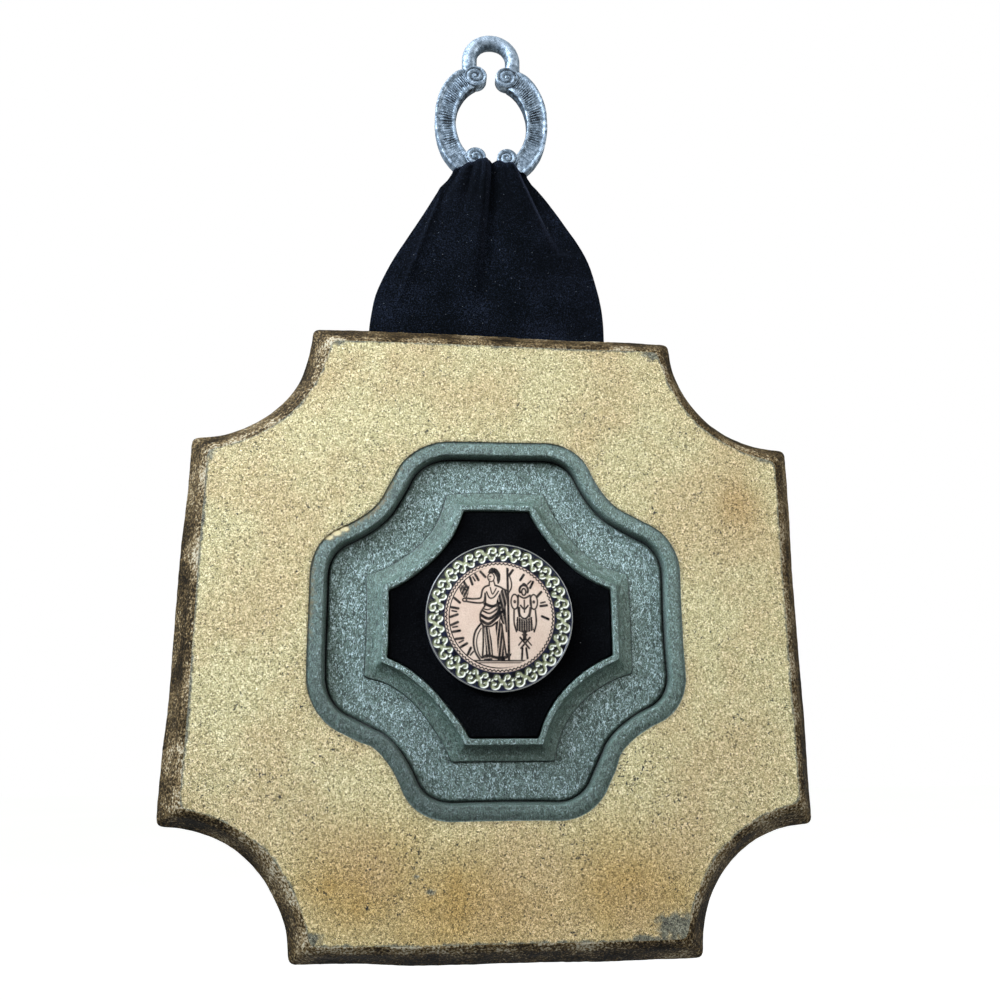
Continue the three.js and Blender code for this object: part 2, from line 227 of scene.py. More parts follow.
boardShape = shapeOf(boardHigh[0] - boardLow[0], scoopShift=-1.9, scoopRadius=43.7)
surroundShape = shapeOf(140.4, scoopShift=5.3, scoopRadius=42.4, corner=20)
mouldingShape = shapeOf(99.6, scoopShift=7.4, scoopRadius=39.2)


def arc(centreX, centreY, radius, start, end, steps):
    angle = np.linspace(start, end, steps + 1)
    return np.column_stack([centreX + radius * np.cos(angle), centreY + radius * np.sin(angle)])


# Closed outline round the board's centre, as many points whatever the shape
def outlineOf(shape, inset, softening=0):
    arcSteps, straightSteps = boardForm["arcSteps"], boardForm["straightSteps"]
    half, centre, corner = shape["half"], shape["scoopCentre"], shape["corner"]
    reach, scoop = half - inset, shape["scoopRadius"] + inset
    if corner == 0:
        cornerY = centre - math.sqrt(scoop ** 2 - (centre - reach) ** 2)
        y = np.linspace(-cornerY, cornerY, 2 * arcSteps + straightSteps + 1)
        side = np.column_stack([np.full_like(y, reach), y])
    else:
        cornerX = half - corner
        run = centre - cornerX
        rise = math.sqrt((shape["scoopRadius"] + corner) ** 2 - run ** 2)
        cornerY, turn = centre - rise, math.atan2(rise, run)
        y = np.linspace(-cornerY, cornerY, straightSteps + 1)[1:-1]
        side = np.concatenate([
            arc(cornerX, -cornerY, corner - inset, -turn, 0, arcSteps),
            np.column_stack([np.full_like(y, reach), y]),
            arc(cornerX, cornerY, corner - inset, 0, turn, arcSteps),
        ])
    first = math.atan2(side[-1][1] - centre, side[-1][0] - centre) + fullTurn
    bite = arc(centre, centre, scoop, first, 1.25 * fullTurn - first, boardForm["scoopSteps"])
    quarter = np.concatenate([side, bite[1:-1]])
    outline = np.concatenate([quarter, quarter[:, ::-1] * [-1, 1], -quarter, quarter[:, ::-1] * [1, -1]])
    for _ in range(softening):
        outline = (np.roll(outline, 1, axis=0) + 2 * outline + np.roll(outline, -1, axis=0)) / 4
    return outline


# The casting isn't quite true: places from the board's centre and how far each lies off, in mm
castBlend = 50
castShifts = [
    (-74, 120, 0.1, 0.3), (-50, 120, 0, 0.4), (50, 120, -0.5, -0.9), (74, 120, -1.3, -1.4),
    (-120, 74, 1.2, -1.2), (-87, 87, 0.9, -0.9), (87, 87, -0.9, -1.2), (120, 74, -0.1, -1.2),
    (-120, 0, 0, 0), (120, 0, -1.0, 0), (-120, -74, -1.2, 3.3), (120, -74, -1.3, 1.0),
    (-87, -87, 0, 3.0), (87, -87, -0.7, 1.2), (-74, -120, 1.1, 3.0), (0, -120, 0, 1.5),
    (74, -120, -0.2, 1.4), (0, 70, -1.4, 0), (0, -70, 2.6, 0.4), (-70, 0, 0.1, -2.6), (70, 0, -0.8, 0.7),
    (0, 42, -1.1, 1.0), (0, -42, 1.7, 0.1), (-42, 0, 0.7, -0.4), (42, 0, 0.7, 0.6), (0, 0, 0, 0.6),
    (-46, 46, -1.2, -1.6), (46, 46, -1.3, 0.6), (-46, -46, 2.0, -0.2), (46, -46, 0.1, 0.5),
    (-38, 54, -2.7, -0.9), (-54, -38, 1.1, -2.6), (38, -54, 2.5, -0.5), (54, 38, -0.4, 1.9),
    (30, 30, 1.4, 0.2), (-30, 30, -0.4, 0.5), (-30, -30, -1.6, 0.2), (30, -30, 0.7, 0.1),
]


def asCast(points):
    moved, total = np.zeros((len(points), 2)), np.zeros(len(points))
    # The gilded face kept truer than the edge behind it
    out = np.abs(points[:, :2]).max(axis=1)
    kept = 1 - 0.6 * smooth(wallZ + 2, frontZ, points[:, 2]) * smooth(72, 86, out)
    for x, y, *shift in castShifts:
        weight = (np.sum((points[:, :2] - (x, y)) ** 2, axis=1) + castBlend) ** -2
        moved += weight[:, None] * shift
        total += weight
    return points + np.column_stack([moved * (kept / total)[:, None], np.zeros(len(points))])


gilding, bareEdge, greenPaint, backing = range(4)

# Where the gilding is worn through to grey, in mm from the board's centre, and how wide
wornSpots = [
    (-63, 111, 7, 3), (0, 111.5, 9, 2.5), (63, 110, 6, 4), (86, 84, 5, 5), (107, 68, 5, 5), (62, -106, 11, 6),
    (74, -100, 6, 5), (50, -110, 8, 2), (-66, -108, 6, 3), (-25, -93, 2.5, 2), (-30, -88, 1.5, 1.2),
    (-83, 88, 4, 3), (-110.5, 40, 1.4, 30), (-110.5, -30, 1.3, 30), (-110, 66, 3, 6), (40, 111, 3, 1.6),
]
# Where the powder has darkened to ochre
ochreSpots = [(-8, -98, 50, 22), (-48, -90, 28, 22), (44, -94, 36, 22), (94, 46, 9, 12)]
# Where gold has run over the green
spillSpots = [(-62.6, 32.8, 2.6, 1.4), (-59.8, 34.6, 2.9, 1.9), (-56.8, 36.2, 2.6, 1.7)]
shoulderSpots = [(-46, 46, 28, 28), (-66, 12, 10, 22)]


def spotField(points, spots):
    total = np.zeros(len(points))
    for x, y, wide, high in spots:
        away = ((points[:, 0] - x) / wide) ** 2 + ((points[:, 1] - y) / high) ** 2
        total = np.maximum(total, np.exp(-away))
    return total


# Rows of the board from its back, over the edge and in to the recess: outline, level,
# finish of the strip that starts there, roughness in mm, dirt with painted shade, and distance from the arris
def boardRows():
    form, rows = boardForm, []
    edge, bevel, band, groove = form["edgeInset"], form["edgeBevel"], form["bandWidth"], form["grooveWidth"]

    def add(outline, z, finish, rough, dirt=0.0, rim=0.0):
        rows.append((outline, z, finish, rough, dirt, np.broadcast_to(rim, len(outline))))

    def addAt(shape, inset, z, finish, rough, dirt=0.0, rim=0.0):
        soft = form["cornerSoftening"] if shape["corner"] == 0 else 0
        add(outlineOf(shape, inset, soft), z, finish, rough, dirt, rim)

    # Back arris, lip and the drafted side
    for inset, rise in [(1.2, 0), (0.6, 0.03), (0.2, 0.2), (0.0, 0.6)]:
        addAt(boardShape, inset, wallZ + rise, backing if rise == 0 else bareEdge, 0.03, 0.6)
    for rise in (1.0, 1.5, 1.9):
        addAt(boardShape, 0, wallZ + rise, bareEdge, 0.08, 0.5)
    slopeFoot, slopeTop = wallZ + form["edgeLip"] + 0.25, frontZ - bevel - 0.35
    for t in np.linspace(0, 1, 11):
        level = slopeFoot + (slopeTop - slopeFoot) * t
        addAt(boardShape, 0.25 + (edge - bevel - 0.55) * t, level, bareEdge, 0.16, 0.3)
    # Bevel up to the gilded face
    for t in (0.0, 0.15, 0.35, 0.55, 0.75, 0.9):
        addAt(boardShape, edge - bevel + bevel * t, frontZ - bevel * (1 - t), bareEdge, 0.12, 0.1)
    addAt(boardShape, edge + 0.1, frontZ - 0.08, bareEdge, 0.1)
    # The gilded face, from the board's own outline to the surround's
    outer, inner = outlineOf(boardShape, edge + 0.5, form["cornerSoftening"]), outlineOf(surroundShape, -0.35)
    span = np.linalg.norm(outer - inner, axis=1)
    for t in np.linspace(0, 1, 46):
        add(outer * (1 - t) + inner * t, frontZ, gilding, 0.085, 0.3 * smooth(0.97, 1, t), span * t + 0.5)
    # Crevice, band, groove; their darkening is painted shade in the crevice, along both edges of the band and in
    # the groove, with some dirt
    addAt(surroundShape, -0.12, frontZ - 0.04, gilding, 0.04, 0.2, 40)
    addAt(surroundShape, 0.05, frontZ - 0.25, greenPaint, 0.03, 0.4)
    addAt(surroundShape, 0.22, frontZ - form["bandLean"], greenPaint, 0.02, 0.4)
    for t in np.linspace(0, 1, 14):
        # The band leans outwards: it rises to a crest half way in, then drops to the groove
        rise = math.sin(quarterTurn * min(t / 0.55, 1))
        level = frontZ - form["bandLean"] + (form["bandLean"] + form["bandCrown"]) * rise
        level -= (form["bandDrop"] + form["bandCrown"]) * max(t - 0.84, 0) ** 2 / 0.16 ** 2
        dirt = max(0.5 - 2 * t, 0, 8 * (t - 0.92))
        addAt(surroundShape, form["creviceWidth"] + band * t, level, greenPaint, 0.045, dirt)
    bandInner = form["creviceWidth"] + band
    fieldZ = frontZ - form["fieldDepth"]
    grooveZ = fieldZ - form["grooveDepth"]
    for share, level in [(0.08, grooveZ + 0.3), (0.16, grooveZ), (0.3, grooveZ), (0.42, grooveZ + 0.3),
                         (0.55, fieldZ - 0.05)]:
        dirt = 1 - 0.8 * smooth(0.3, 0.54, share)
        addAt(surroundShape, bandInner + groove * share, level, greenPaint, 0.03, dirt)
    # The rough field, from the surround's outline to the moulding's
    outer, inner = outlineOf(surroundShape, bandInner + groove + 0.25), outlineOf(mouldingShape, -0.15, 2)
    for t in np.linspace(0, 1, 17):
        add(outer * (1 - t) + inner * t, fieldZ, greenPaint, 0.11)
    # Fillet, cove and ledge; the dark line at the fillet, the darkening at the cove's top and in the recess are
    # painted shade
    coveFoot = fieldZ + form["filletHeight"]
    addAt(mouldingShape, 0.05, fieldZ - 0.12, greenPaint, 0.01, 0.9)
    addAt(mouldingShape, 0.2, fieldZ + 0.35 * form["filletHeight"], greenPaint, 0.01, 0.8)
    addAt(mouldingShape, 0.32, coveFoot - 0.1, greenPaint, 0.02, 0.1)
    for share in np.linspace(0, 1, 12):
        inset = 0.5 + (form["coveWidth"] - 0.5) * math.sin(share * quarterTurn)
        level = coveFoot + (ledgeZ - 0.15 - coveFoot) * (1 - math.cos(share * quarterTurn))
        addAt(mouldingShape, inset, level, greenPaint, 0.025, 0.5 * smooth(0.75, 1, share))
    for inset, drop in [(0.15, 0.05), (0.5, 0), (1.0, 0), (1.5, 0), (1.85, 0.05), (2.0, 0.25)]:
        addAt(mouldingShape, form["coveWidth"] + inset, ledgeZ - drop, greenPaint, 0.08)
    ledgeInner, recessZ = form["coveWidth"] + form["ledgeWidth"], ledgeZ - form["recessDepth"]
    addAt(mouldingShape, ledgeInner + form["panelGap"], recessZ + 0.1, greenPaint, 0, 1)
    addAt(mouldingShape, ledgeInner + 2 * form["panelGap"], recessZ, greenPaint, 0, 1)
    return rows


def buildBoard(finishes):
    rows = boardRows()
    count = len(rows[0][0])
    outlines, *columns = zip(*rows)
    flat, rim = np.concatenate(outlines), np.concatenate(columns.pop())
    levels, finishAt, rough, dirt = (np.repeat(column, count) for column in columns)
    # Painted shade on the green: darker low down and on the left of the band, where the light falls off
    green = finishAt == greenPaint
    onBand = green & (rough == 0.045)
    paintedShade = 0.36 * smooth(20, -66, flat[:, 1]) + 0.26 * onBand * smooth(40, -40, flat[:, 0])
    dirt = np.append(np.maximum(dirt, green * paintedShade), [0, 1])
    # Hand-finished unevenness: broad swells, pebbling and small lumps
    points = np.column_stack([flat, levels])
    normals = normalsOf(points, facingOut(points, gridFaces(len(rows), count)))
    uneven = 0.9 * ripple(points, 9, 1) + 0.8 * ripple(points, 3.1, 2) + 0.9 * ripple(points, 1.5, 3)
    points += normals * (rough * uneven)[:, None]
    points = np.concatenate([points, [[0, 0, points[0, 2]], [0, 0, points[-1, 2]]]])
    faceFinish = np.concatenate([finishAt[:-count], np.full(count, backing), np.full(count, greenPaint)])
    rim = np.append(rim, [0, 0])
    worn = np.where(rim > 0, np.maximum(spotField(points, wornSpots), 0.95 - 0.36 * rim), 1)
    # Gold run over the band's outer shoulder, strongest at the upper left
    order = np.arange(len(rows)) - list(columns[1]).index(greenPaint) - 3
    shoulder = np.append(green * np.repeat(np.exp(-(order / 4.5) ** 2), count), [0, 0])
    spill = np.maximum(spotField(points, spillSpots), 0.56 * shoulder * spotField(points, shoulderSpots))
    coarse = np.append(np.clip(rough / 0.11, 0, 1), [0, 0])
    ochre = spotField(points, ochreSpots)
    shades = {"dirt": dirt, "worn": worn, "spill": spill, "ochre": ochre, "coarse": coarse}
    board = makePiece("gilded_board", asCast(points) + seat, cappedFaces(len(rows), count), finishes,
                      "plaque_board", faceFinish, shades)
    cutRebate(board, finishes[backing])


# Shallow rebate in the back, where the ribbon's tail lies
def cutRebate(board, finish):
    form = boardForm
    left, deep = boardCentre[0] + form["rebateShift"] - form["rebateWidth"] / 2, form["rebateDepth"]
    low = (left, boardHigh[1] - form["rebateHeight"], wallZ - deep)
    high = (left + form["rebateWidth"], boardHigh[1] + deep, wallZ + deep)
    corners = np.array([[(low, high)[k >> axis & 1][axis] for axis in range(3)] for k in range(8)])
    sides = [(0, 2, 3, 1), (4, 5, 7, 6), (0, 1, 5, 4), (2, 6, 7, 3), (0, 4, 6, 2), (1, 3, 7, 5)]
    cutter = makeObject("rebate cutter", corners, [side[::-1] for side in sides], [finish])
    cut = board.modifiers.new("rebate", "BOOLEAN")
    cut.operation, cut.solver, cut.material_mode = "DIFFERENCE", "EXACT", "TRANSFER"
    cut.object = cutter
    bpy.context.view_layer.update()
    evaluated = board.evaluated_get(bpy.context.evaluated_depsgraph_get())
    finished = bpy.data.meshes.new_from_object(evaluated)
    board.modifiers.remove(cut)
    board.data = finished
    bpy.data.objects.remove(cutter)
    print(f"rebate cut: {len(finished.polygons)} faces")


gildingLook = {
    "grain": [(0.33, "#51482f"), (0.43, "#988e63"), (0.53, "#c6b989"), (0.63, "#f4eac6")],
    "drift": [(0.38, "#f3dfcc"), (0.56, "#fffdf2")], "ochre": "#dfc497", "speck": "#1f1a10",
    "rubbed": [(0.38, "#1f1a10"), (0.5, "#5c5a44"), (0.66, "#98947a")],
}


# Bronze-powder gilding over a dark ground, brushed on a pebbly casting: pale grains with
# dark pores between them, warmer where the powder is thin, grey where it is rubbed off.
# The palest grains carry a painted glint, and the pores are deepened by painted shade
def gildingFinish():
    look = gildingLook
    finish, add, shader, (grain, drift, holes, cluster, ragged) = newFinish("bronze powder gilding", [
        (0.72, 2.5, 0.65, 1.3), (34, 5, 0.6), (1.25, 2.5, 0.75), (13, 2), (3.4, 5, 0.75)])
    # The palest stop paints glints on the grain tops; the darkest is the dark ground in the pores, deepened by
    # painted shade
    colour = add("ValToRGB", {"ramp": look["grain"]}, {"Fac": grain})
    # Broad drifts between warm and pale powder, and ochre stains
    tint = add("ValToRGB", {"ramp": look["drift"]}, {"Fac": drift})
    colour = add("Mix", {"data_type": "RGBA", "blend_type": "MULTIPLY", 0: 0.6}, {6: colour, 7: tint}, 2)
    ochre = add("Attribute", {"attribute_name": "ochre"}, out="Fac")
    darker = add("Math", {"operation": "MULTIPLY_ADD", 1: 1.2, 2: -0.15, "use_clamp": True}, {0: drift})
    stain = add("Math", {"operation": "MULTIPLY"}, {0: ochre, 1: darker})
    stain = add("Math", {"operation": "MULTIPLY", 1: 2.0, "use_clamp": True}, {0: stain})
    colour = add("Mix", {"data_type": "RGBA", "blend_type": "MULTIPLY", 7: look["ochre"]},
                 {0: stain, 6: colour}, 2)
    # Pinholes and specks, in loose clusters
    dense = add("Math", {"operation": "MULTIPLY_ADD", 1: 0.3}, {0: cluster, 2: holes})
    speck = add("MapRange", {1: 0.81, 2: 0.84}, {0: dense})
    colour = add("Mix", {"data_type": "RGBA", 7: look["speck"]}, {0: speck, 6: colour}, 2)
    # Rubbed patches and the rubbed border, broken up by the grain
    worn = add("Attribute", {"attribute_name": "worn"}, out="Fac")
    edge = add("Math", {"operation": "MULTIPLY_ADD", 1: 1.5}, {0: ragged, 2: worn})
    rub = add("MapRange", {1: 1.2, 2: 1.5}, {0: edge})
    rubbed = add("ValToRGB", {"ramp": look["rubbed"]}, {"Fac": grain})
    colour = add("Mix", {"data_type": "RGBA"}, {0: rub, 6: colour, 7: rubbed}, 2)
    # Dirt and painted shade gathered against the surround, darkening the crevice
    dirt = add("Attribute", {"attribute_name": "dirt"}, out="Fac")
    colour = add("Mix", {"data_type": "RGBA", 7: look["speck"]}, {0: dirt, 6: colour}, 2)
    metal = add("MapRange", {3: 0.4, 4: 0.1}, {0: rub})
    dull = add("MapRange", {1: 0.3, 2: 0.7, 3: 0.6, 4: 0.42}, {0: grain})
    bump = add("Bump", {"Strength": 1.0, "Distance": 1.3 * mm}, {"Height": grain})
    feed(shader, {}, {"Base Color": colour, "Metallic": metal, "Roughness": dull, "Normal": bump})
    return finish


# Umber stain on the bare casting, rubbed with bronze and grey dust: dark and uneven, with
# coppery flecks
def edgeFinish():
    stain = [(0.57, "#110c05"), (0.7, "#423520"), (0.785, "#786443"), (0.865, "#a59d86")]
    finish, add, shader, (grain, drift) = newFinish(
        "umber stain with bronze dust", [(0.9, 3, 0.7), (14, 2)])
    mixed = add("Math", {"operation": "MULTIPLY_ADD", 1: 0.5}, {0: drift, 2: grain})
    # The bevel is paler than the side, which darkens towards the back
    dirt = add("Attribute", {"attribute_name": "dirt"}, out="Fac")
    mixed = add("Math", {"operation": "MULTIPLY_ADD", 1: -0.32}, {0: dirt, 2: mixed})
    colour = add("ValToRGB", {"ramp": stain}, {"Fac": mixed})
    bump = add("Bump", {"Strength": 0.9, "Distance": 0.4 * mm}, {"Height": grain})
    feed(shader, {"Roughness": 0.65, "Specular IOR Level": 0.06}, {"Base Color": colour, "Normal": bump})
    return finish


greenLook = {
    "grain": [(0.38, "#25332c"), (0.47, "#475b4d"), (0.555, "#768d84"), (0.63, "#c3d6d6")],
    "gold": [(0.56, "#665834"), (0.8, "#b7a87b")], "dirt": "#161f19", "brushLean": -52, "brushLength": 0.6,
}


# Milk-type casein paint, grey-green and rubbed to a low sheen over a rough casting: chalky
# on the raised grain, with painted glints on its tops and painted shade in its low parts
def greenFinish():
    look = greenLook
    finish, add, shader, (ragged,) = newFinish("grey-green casein paint", [(1.6, 4, 0.7)])
    place = add("TexCoord", out="Object")
    coarse = add("Attribute", {"attribute_name": "coarse"}, out="Fac")
    # Stiff brush strokes, longer than they are wide, slanting down to the right
    lean = {"Rotation": (0, math.radians(look["brushLean"]), 0), "Scale": (1, 1, look["brushLength"])}
    strokes = add("Mapping", lean, {"Vector": place})
    grain = add("TexNoise", {"Scale": perMetre(0.8), "Detail": 2.5, "Roughness": 0.6, "Distortion": 1.8},
                {"Vector": strokes})
    # Smoother on the band and the cove than on the field
    firm = add("MapRange", {3: 0.45, 4: 1.0}, {0: coarse})
    even = add("Math", {"operation": "SUBTRACT", 1: 0.5}, {0: grain})
    level = add("MapRange", {3: 0.455, 4: 0.5}, {0: coarse})
    grain = add("Math", {"operation": "MULTIPLY_ADD"}, {0: even, 1: firm, 2: level})
    # The palest stop paints glints on the grain's tops, the darkest paints shade in its low parts
    colour = add("ValToRGB", {"ramp": look["grain"]}, {"Fac": grain})
    # Painted shade in the crevices, the groove and low down on the green, with some dirt
    dirt = add("Attribute", {"attribute_name": "dirt"}, out="Fac")
    colour = add("Mix", {"data_type": "RGBA", 7: look["dirt"]}, {0: dirt, 6: colour}, 2)
    spill = add("Attribute", {"attribute_name": "spill"}, out="Fac")
    edge = add("Math", {"operation": "MULTIPLY_ADD", 1: 1.6}, {0: ragged, 2: spill})
    share = add("MapRange", {1: 1.1, 2: 1.55}, {0: edge})
    gold = add("ValToRGB", {"ramp": look["gold"]}, {"Fac": spill})
    colour = add("Mix", {"data_type": "RGBA"}, {0: share, 6: colour, 7: gold}, 2)
    dull = add("MapRange", {1: 0.4, 2: 0.62, 3: 0.4, 4: 0.2}, {0: grain})
    bump = add("Bump", {"Strength": 1.0, "Distance": 1.1 * mm}, {"Height": grain})
    feed(shader, {}, {"Base Color": colour, "Roughness": dull, "Normal": bump})
    return finish


# Brown size over the cast back: dull, dusty and a little blotched
def backFinish():
    size = [(0.35, "#2b231a"), (0.65, "#4a4033")]
    finish, add, shader, (blotch, grit) = newFinish("brown size on the cast back", [(22, 5, 0.65), (1.6, 3)])
    colour = add("ValToRGB", {"ramp": size}, {"Fac": blotch})
    bump = add("Bump", {"Strength": 0.6, "Distance": 0.3 * mm}, {"Height": grit})
    feed(shader, {"Roughness": 0.8}, {"Base Color": colour, "Normal": bump})
    return finish


buildBoard([gildingFinish(), edgeFinish(), greenFinish(), backFinish()])


# Cotton velvet: almost black face on, with a soft light along folds and edges, a short
# nap that turns in patches, and lint
def velvetFinish(name, look):
    finish, add, shader, (nap, patch) = newFinish(name, [(look["napSize"], 3, 0.7), (look["patchSize"], 3)])
    place = add("TexCoord", out="Object")
    turned = add("Math", {"operation": "MULTIPLY_ADD", 1: 0.35}, {0: patch, 2: nap})
    colour = add("ValToRGB", {"ramp": look["pile"]}, {"Fac": turned})
    # Lint: a few short pale bits, each in a cell of its own
    away = add("TexVoronoi", {"Scale": perMetre(look["lintSpacing"]), "Randomness": 1.0}, {"Vector": place})
    near = add("MapRange", {1: look["lintSize"], 2: look["lintSize"] * 1.6, 3: 1.0, 4: 0.0}, {0: away})
    pick = add("SeparateColor", {}, {0: away.node.outputs["Color"]})
    chosen = add("MapRange", {1: look["lintShare"], 2: 1.0, 3: 0.0, 4: 0.75}, {0: pick})
    lint = add("Math", {"operation": "MULTIPLY"}, {0: near, 1: chosen})
    colour = add("Mix", {"data_type": "RGBA", 7: look["lint"]}, {0: lint, 6: colour}, 2)
    bump = add("Bump", {"Strength": 0.7, "Distance": 0.3 * mm}, {"Height": nap})
    sheen = {"Sheen Weight": look["sheen"], "Sheen Roughness": 0.4, "Sheen Tint": look["sheenTint"]}
    feed(shader, {"Roughness": 0.95, "Specular IOR Level": 0.02, **sheen}, {"Base Color": colour, "Normal": bump})
    return finish


# The velvet panel, glued to a card and let into the moulding
panelForm = {
    "inset": 8.6, "edgeRound": 0.6, "puff": 0.15, "rows": 42,
    "look": {
        "napSize": 0.55, "patchSize": 16, "pile": [(0.54, "#020203"), (0.7, "#050607"), (0.86, "#101114")],
        "lint": "#8a8a88", "lintSpacing": 3.2, "lintSize": 0.035, "lintShare": 0.82,
        "sheen": 0.06, "sheenTint": "#6f747c",
    },
}


def buildPanel():
    form = panelForm
    low, high = placeOf("velvet_panel")
    edge = outlineOf(mouldingShape, form["inset"], 3)
    inner = outlineOf(mouldingShape, form["inset"] + form["edgeRound"], 3)
    count = len(edge)
    rows = [(edge, low[2])]
    for turn in np.linspace(0, quarterTurn, 5):
        level = high[2] - form["edgeRound"] * (1 - math.sin(turn))
        rows.append((inner + (edge - inner) * math.cos(turn), level))
    for share in np.linspace(1, 0.03, form["rows"])[1:]:
        rows.append((inner * share, high[2] + form["puff"] * (1 - share ** 4) - form["puff"]))
    points = np.concatenate([np.column_stack([outline, np.full(count, z)]) for outline, z in rows])
    uneven = 0.05 * ripple(points, 5, 21) + 0.03 * ripple(points, 1.4, 22)
    points[:, 2] += np.where(points[:, 2] > low[2] + 1, uneven, 0)
    points = np.concatenate([points, [[0, 0, low[2]], [0, 0, points[-1, 2]]]])
    finish = velvetFinish("black cotton velvet", form["look"])
    makePiece("velvet_inset", asCast(points) + seat, cappedFaces(len(rows), count), [finish],
              "velvet_panel")


buildPanel()


# The printed medallion. Places on it are in shares of its radius, x right and y up
discForm = {
    "turns": 690, "rings": 142, "seat": (-0.2, 1.0), "edge": 2.2, "rim": 0.8, "edgeRound": 0.4, "valley": 0.3,
    "groundRadius": 0.738, "beadRadius": 0.718, "beadCount": 84, "borderMiddle": 0.862, "borderOuter": 0.988,
    "scrollCount": 17, "ink": "#050508", "navy": "#0f1226", "pink": "#bda38f", "paper": "#cab7a4",
    "cream": "#999c7a", "highlight": "#f8f8ea", "olive": "#30341f", "paintedRimHighlight": "#7f7f74",
}


# Ink from a line through those places
def stroke(at, path, width, fade=0.006):
    nearest = np.full(len(at), 9.0)
    for start, end in zip(np.asarray(path[:-1], float), np.asarray(path[1:], float)):
        along = end - start
        share = np.clip(((at - start) @ along) / (along @ along), 0, 1)
        nearest = np.minimum(nearest, np.linalg.norm(at - start - share[:, None] * along, axis=1))
    return 1 - smooth(width / 2 - fade, width / 2 + fade, nearest)


# Ink all over a closed shape
def fill(at, path):
    inside = np.zeros(len(at), bool)
    for (x0, y0), (x1, y1) in zip(path, np.roll(path, -1, axis=0)):
        if y0 != y1:
            crosses = (at[:, 1] > min(y0, y1)) & (at[:, 1] <= max(y0, y1))
            inside ^= crosses & (at[:, 0] < x0 + (at[:, 1] - y0) * (x1 - x0) / (y1 - y0))
    return inside.astype(float)


# A smooth line through a few places
def flowing(path, steps=6):
    p = np.asarray([path[0], *path, path[-1]], float)
    t = np.linspace(0, 1, steps, endpoint=False)[:, None]
    spans = [0.5 * (2 * b + (c - a) * t + (2 * a - 5 * b + 4 * c - d) * t ** 2 + (3 * b - a - 3 * c + d) * t ** 3)
             for a, b, c, d in zip(p, p[1:], p[2:], p[3:])]
    return np.concatenate([*spans, p[-1:]])


# Ink from a table of lines, each a width and its places, in thousandths of the radius
def engrave(at, lines, heavier=1, wider=0, fade=0.006):
    ink = np.zeros(len(at))
    for width, *places in lines:
        path = np.array(places) / 1000
        path = flowing(path) if len(path) > 2 else path
        ink = np.maximum(ink, stroke(at, path, heavier * width / 1000 + wider, fade))
    return ink


# Ink from a table of ovals, each a width, its middle, half width and half height
def engraveOvals(at, ovals, heavier, start=0, end=fullTurn):
    ink = np.zeros(len(at))
    for width, x, y, wide, high in np.array(ovals) / 1000:
        path = arc(0, 0, 1, start, end, 28) * [wide, high] + [x, y]
        ink = np.maximum(ink, stroke(at, path, heavier * width))
    return ink


# Ground showing between engraved lines: 1 on a line, less between
def hatch(at, pitch, lean, gap=0.35):
    return gap + (1 - gap) * (np.sin((at[:, 0] + lean * at[:, 1]) * fullTurn / pitch) > -0.6)


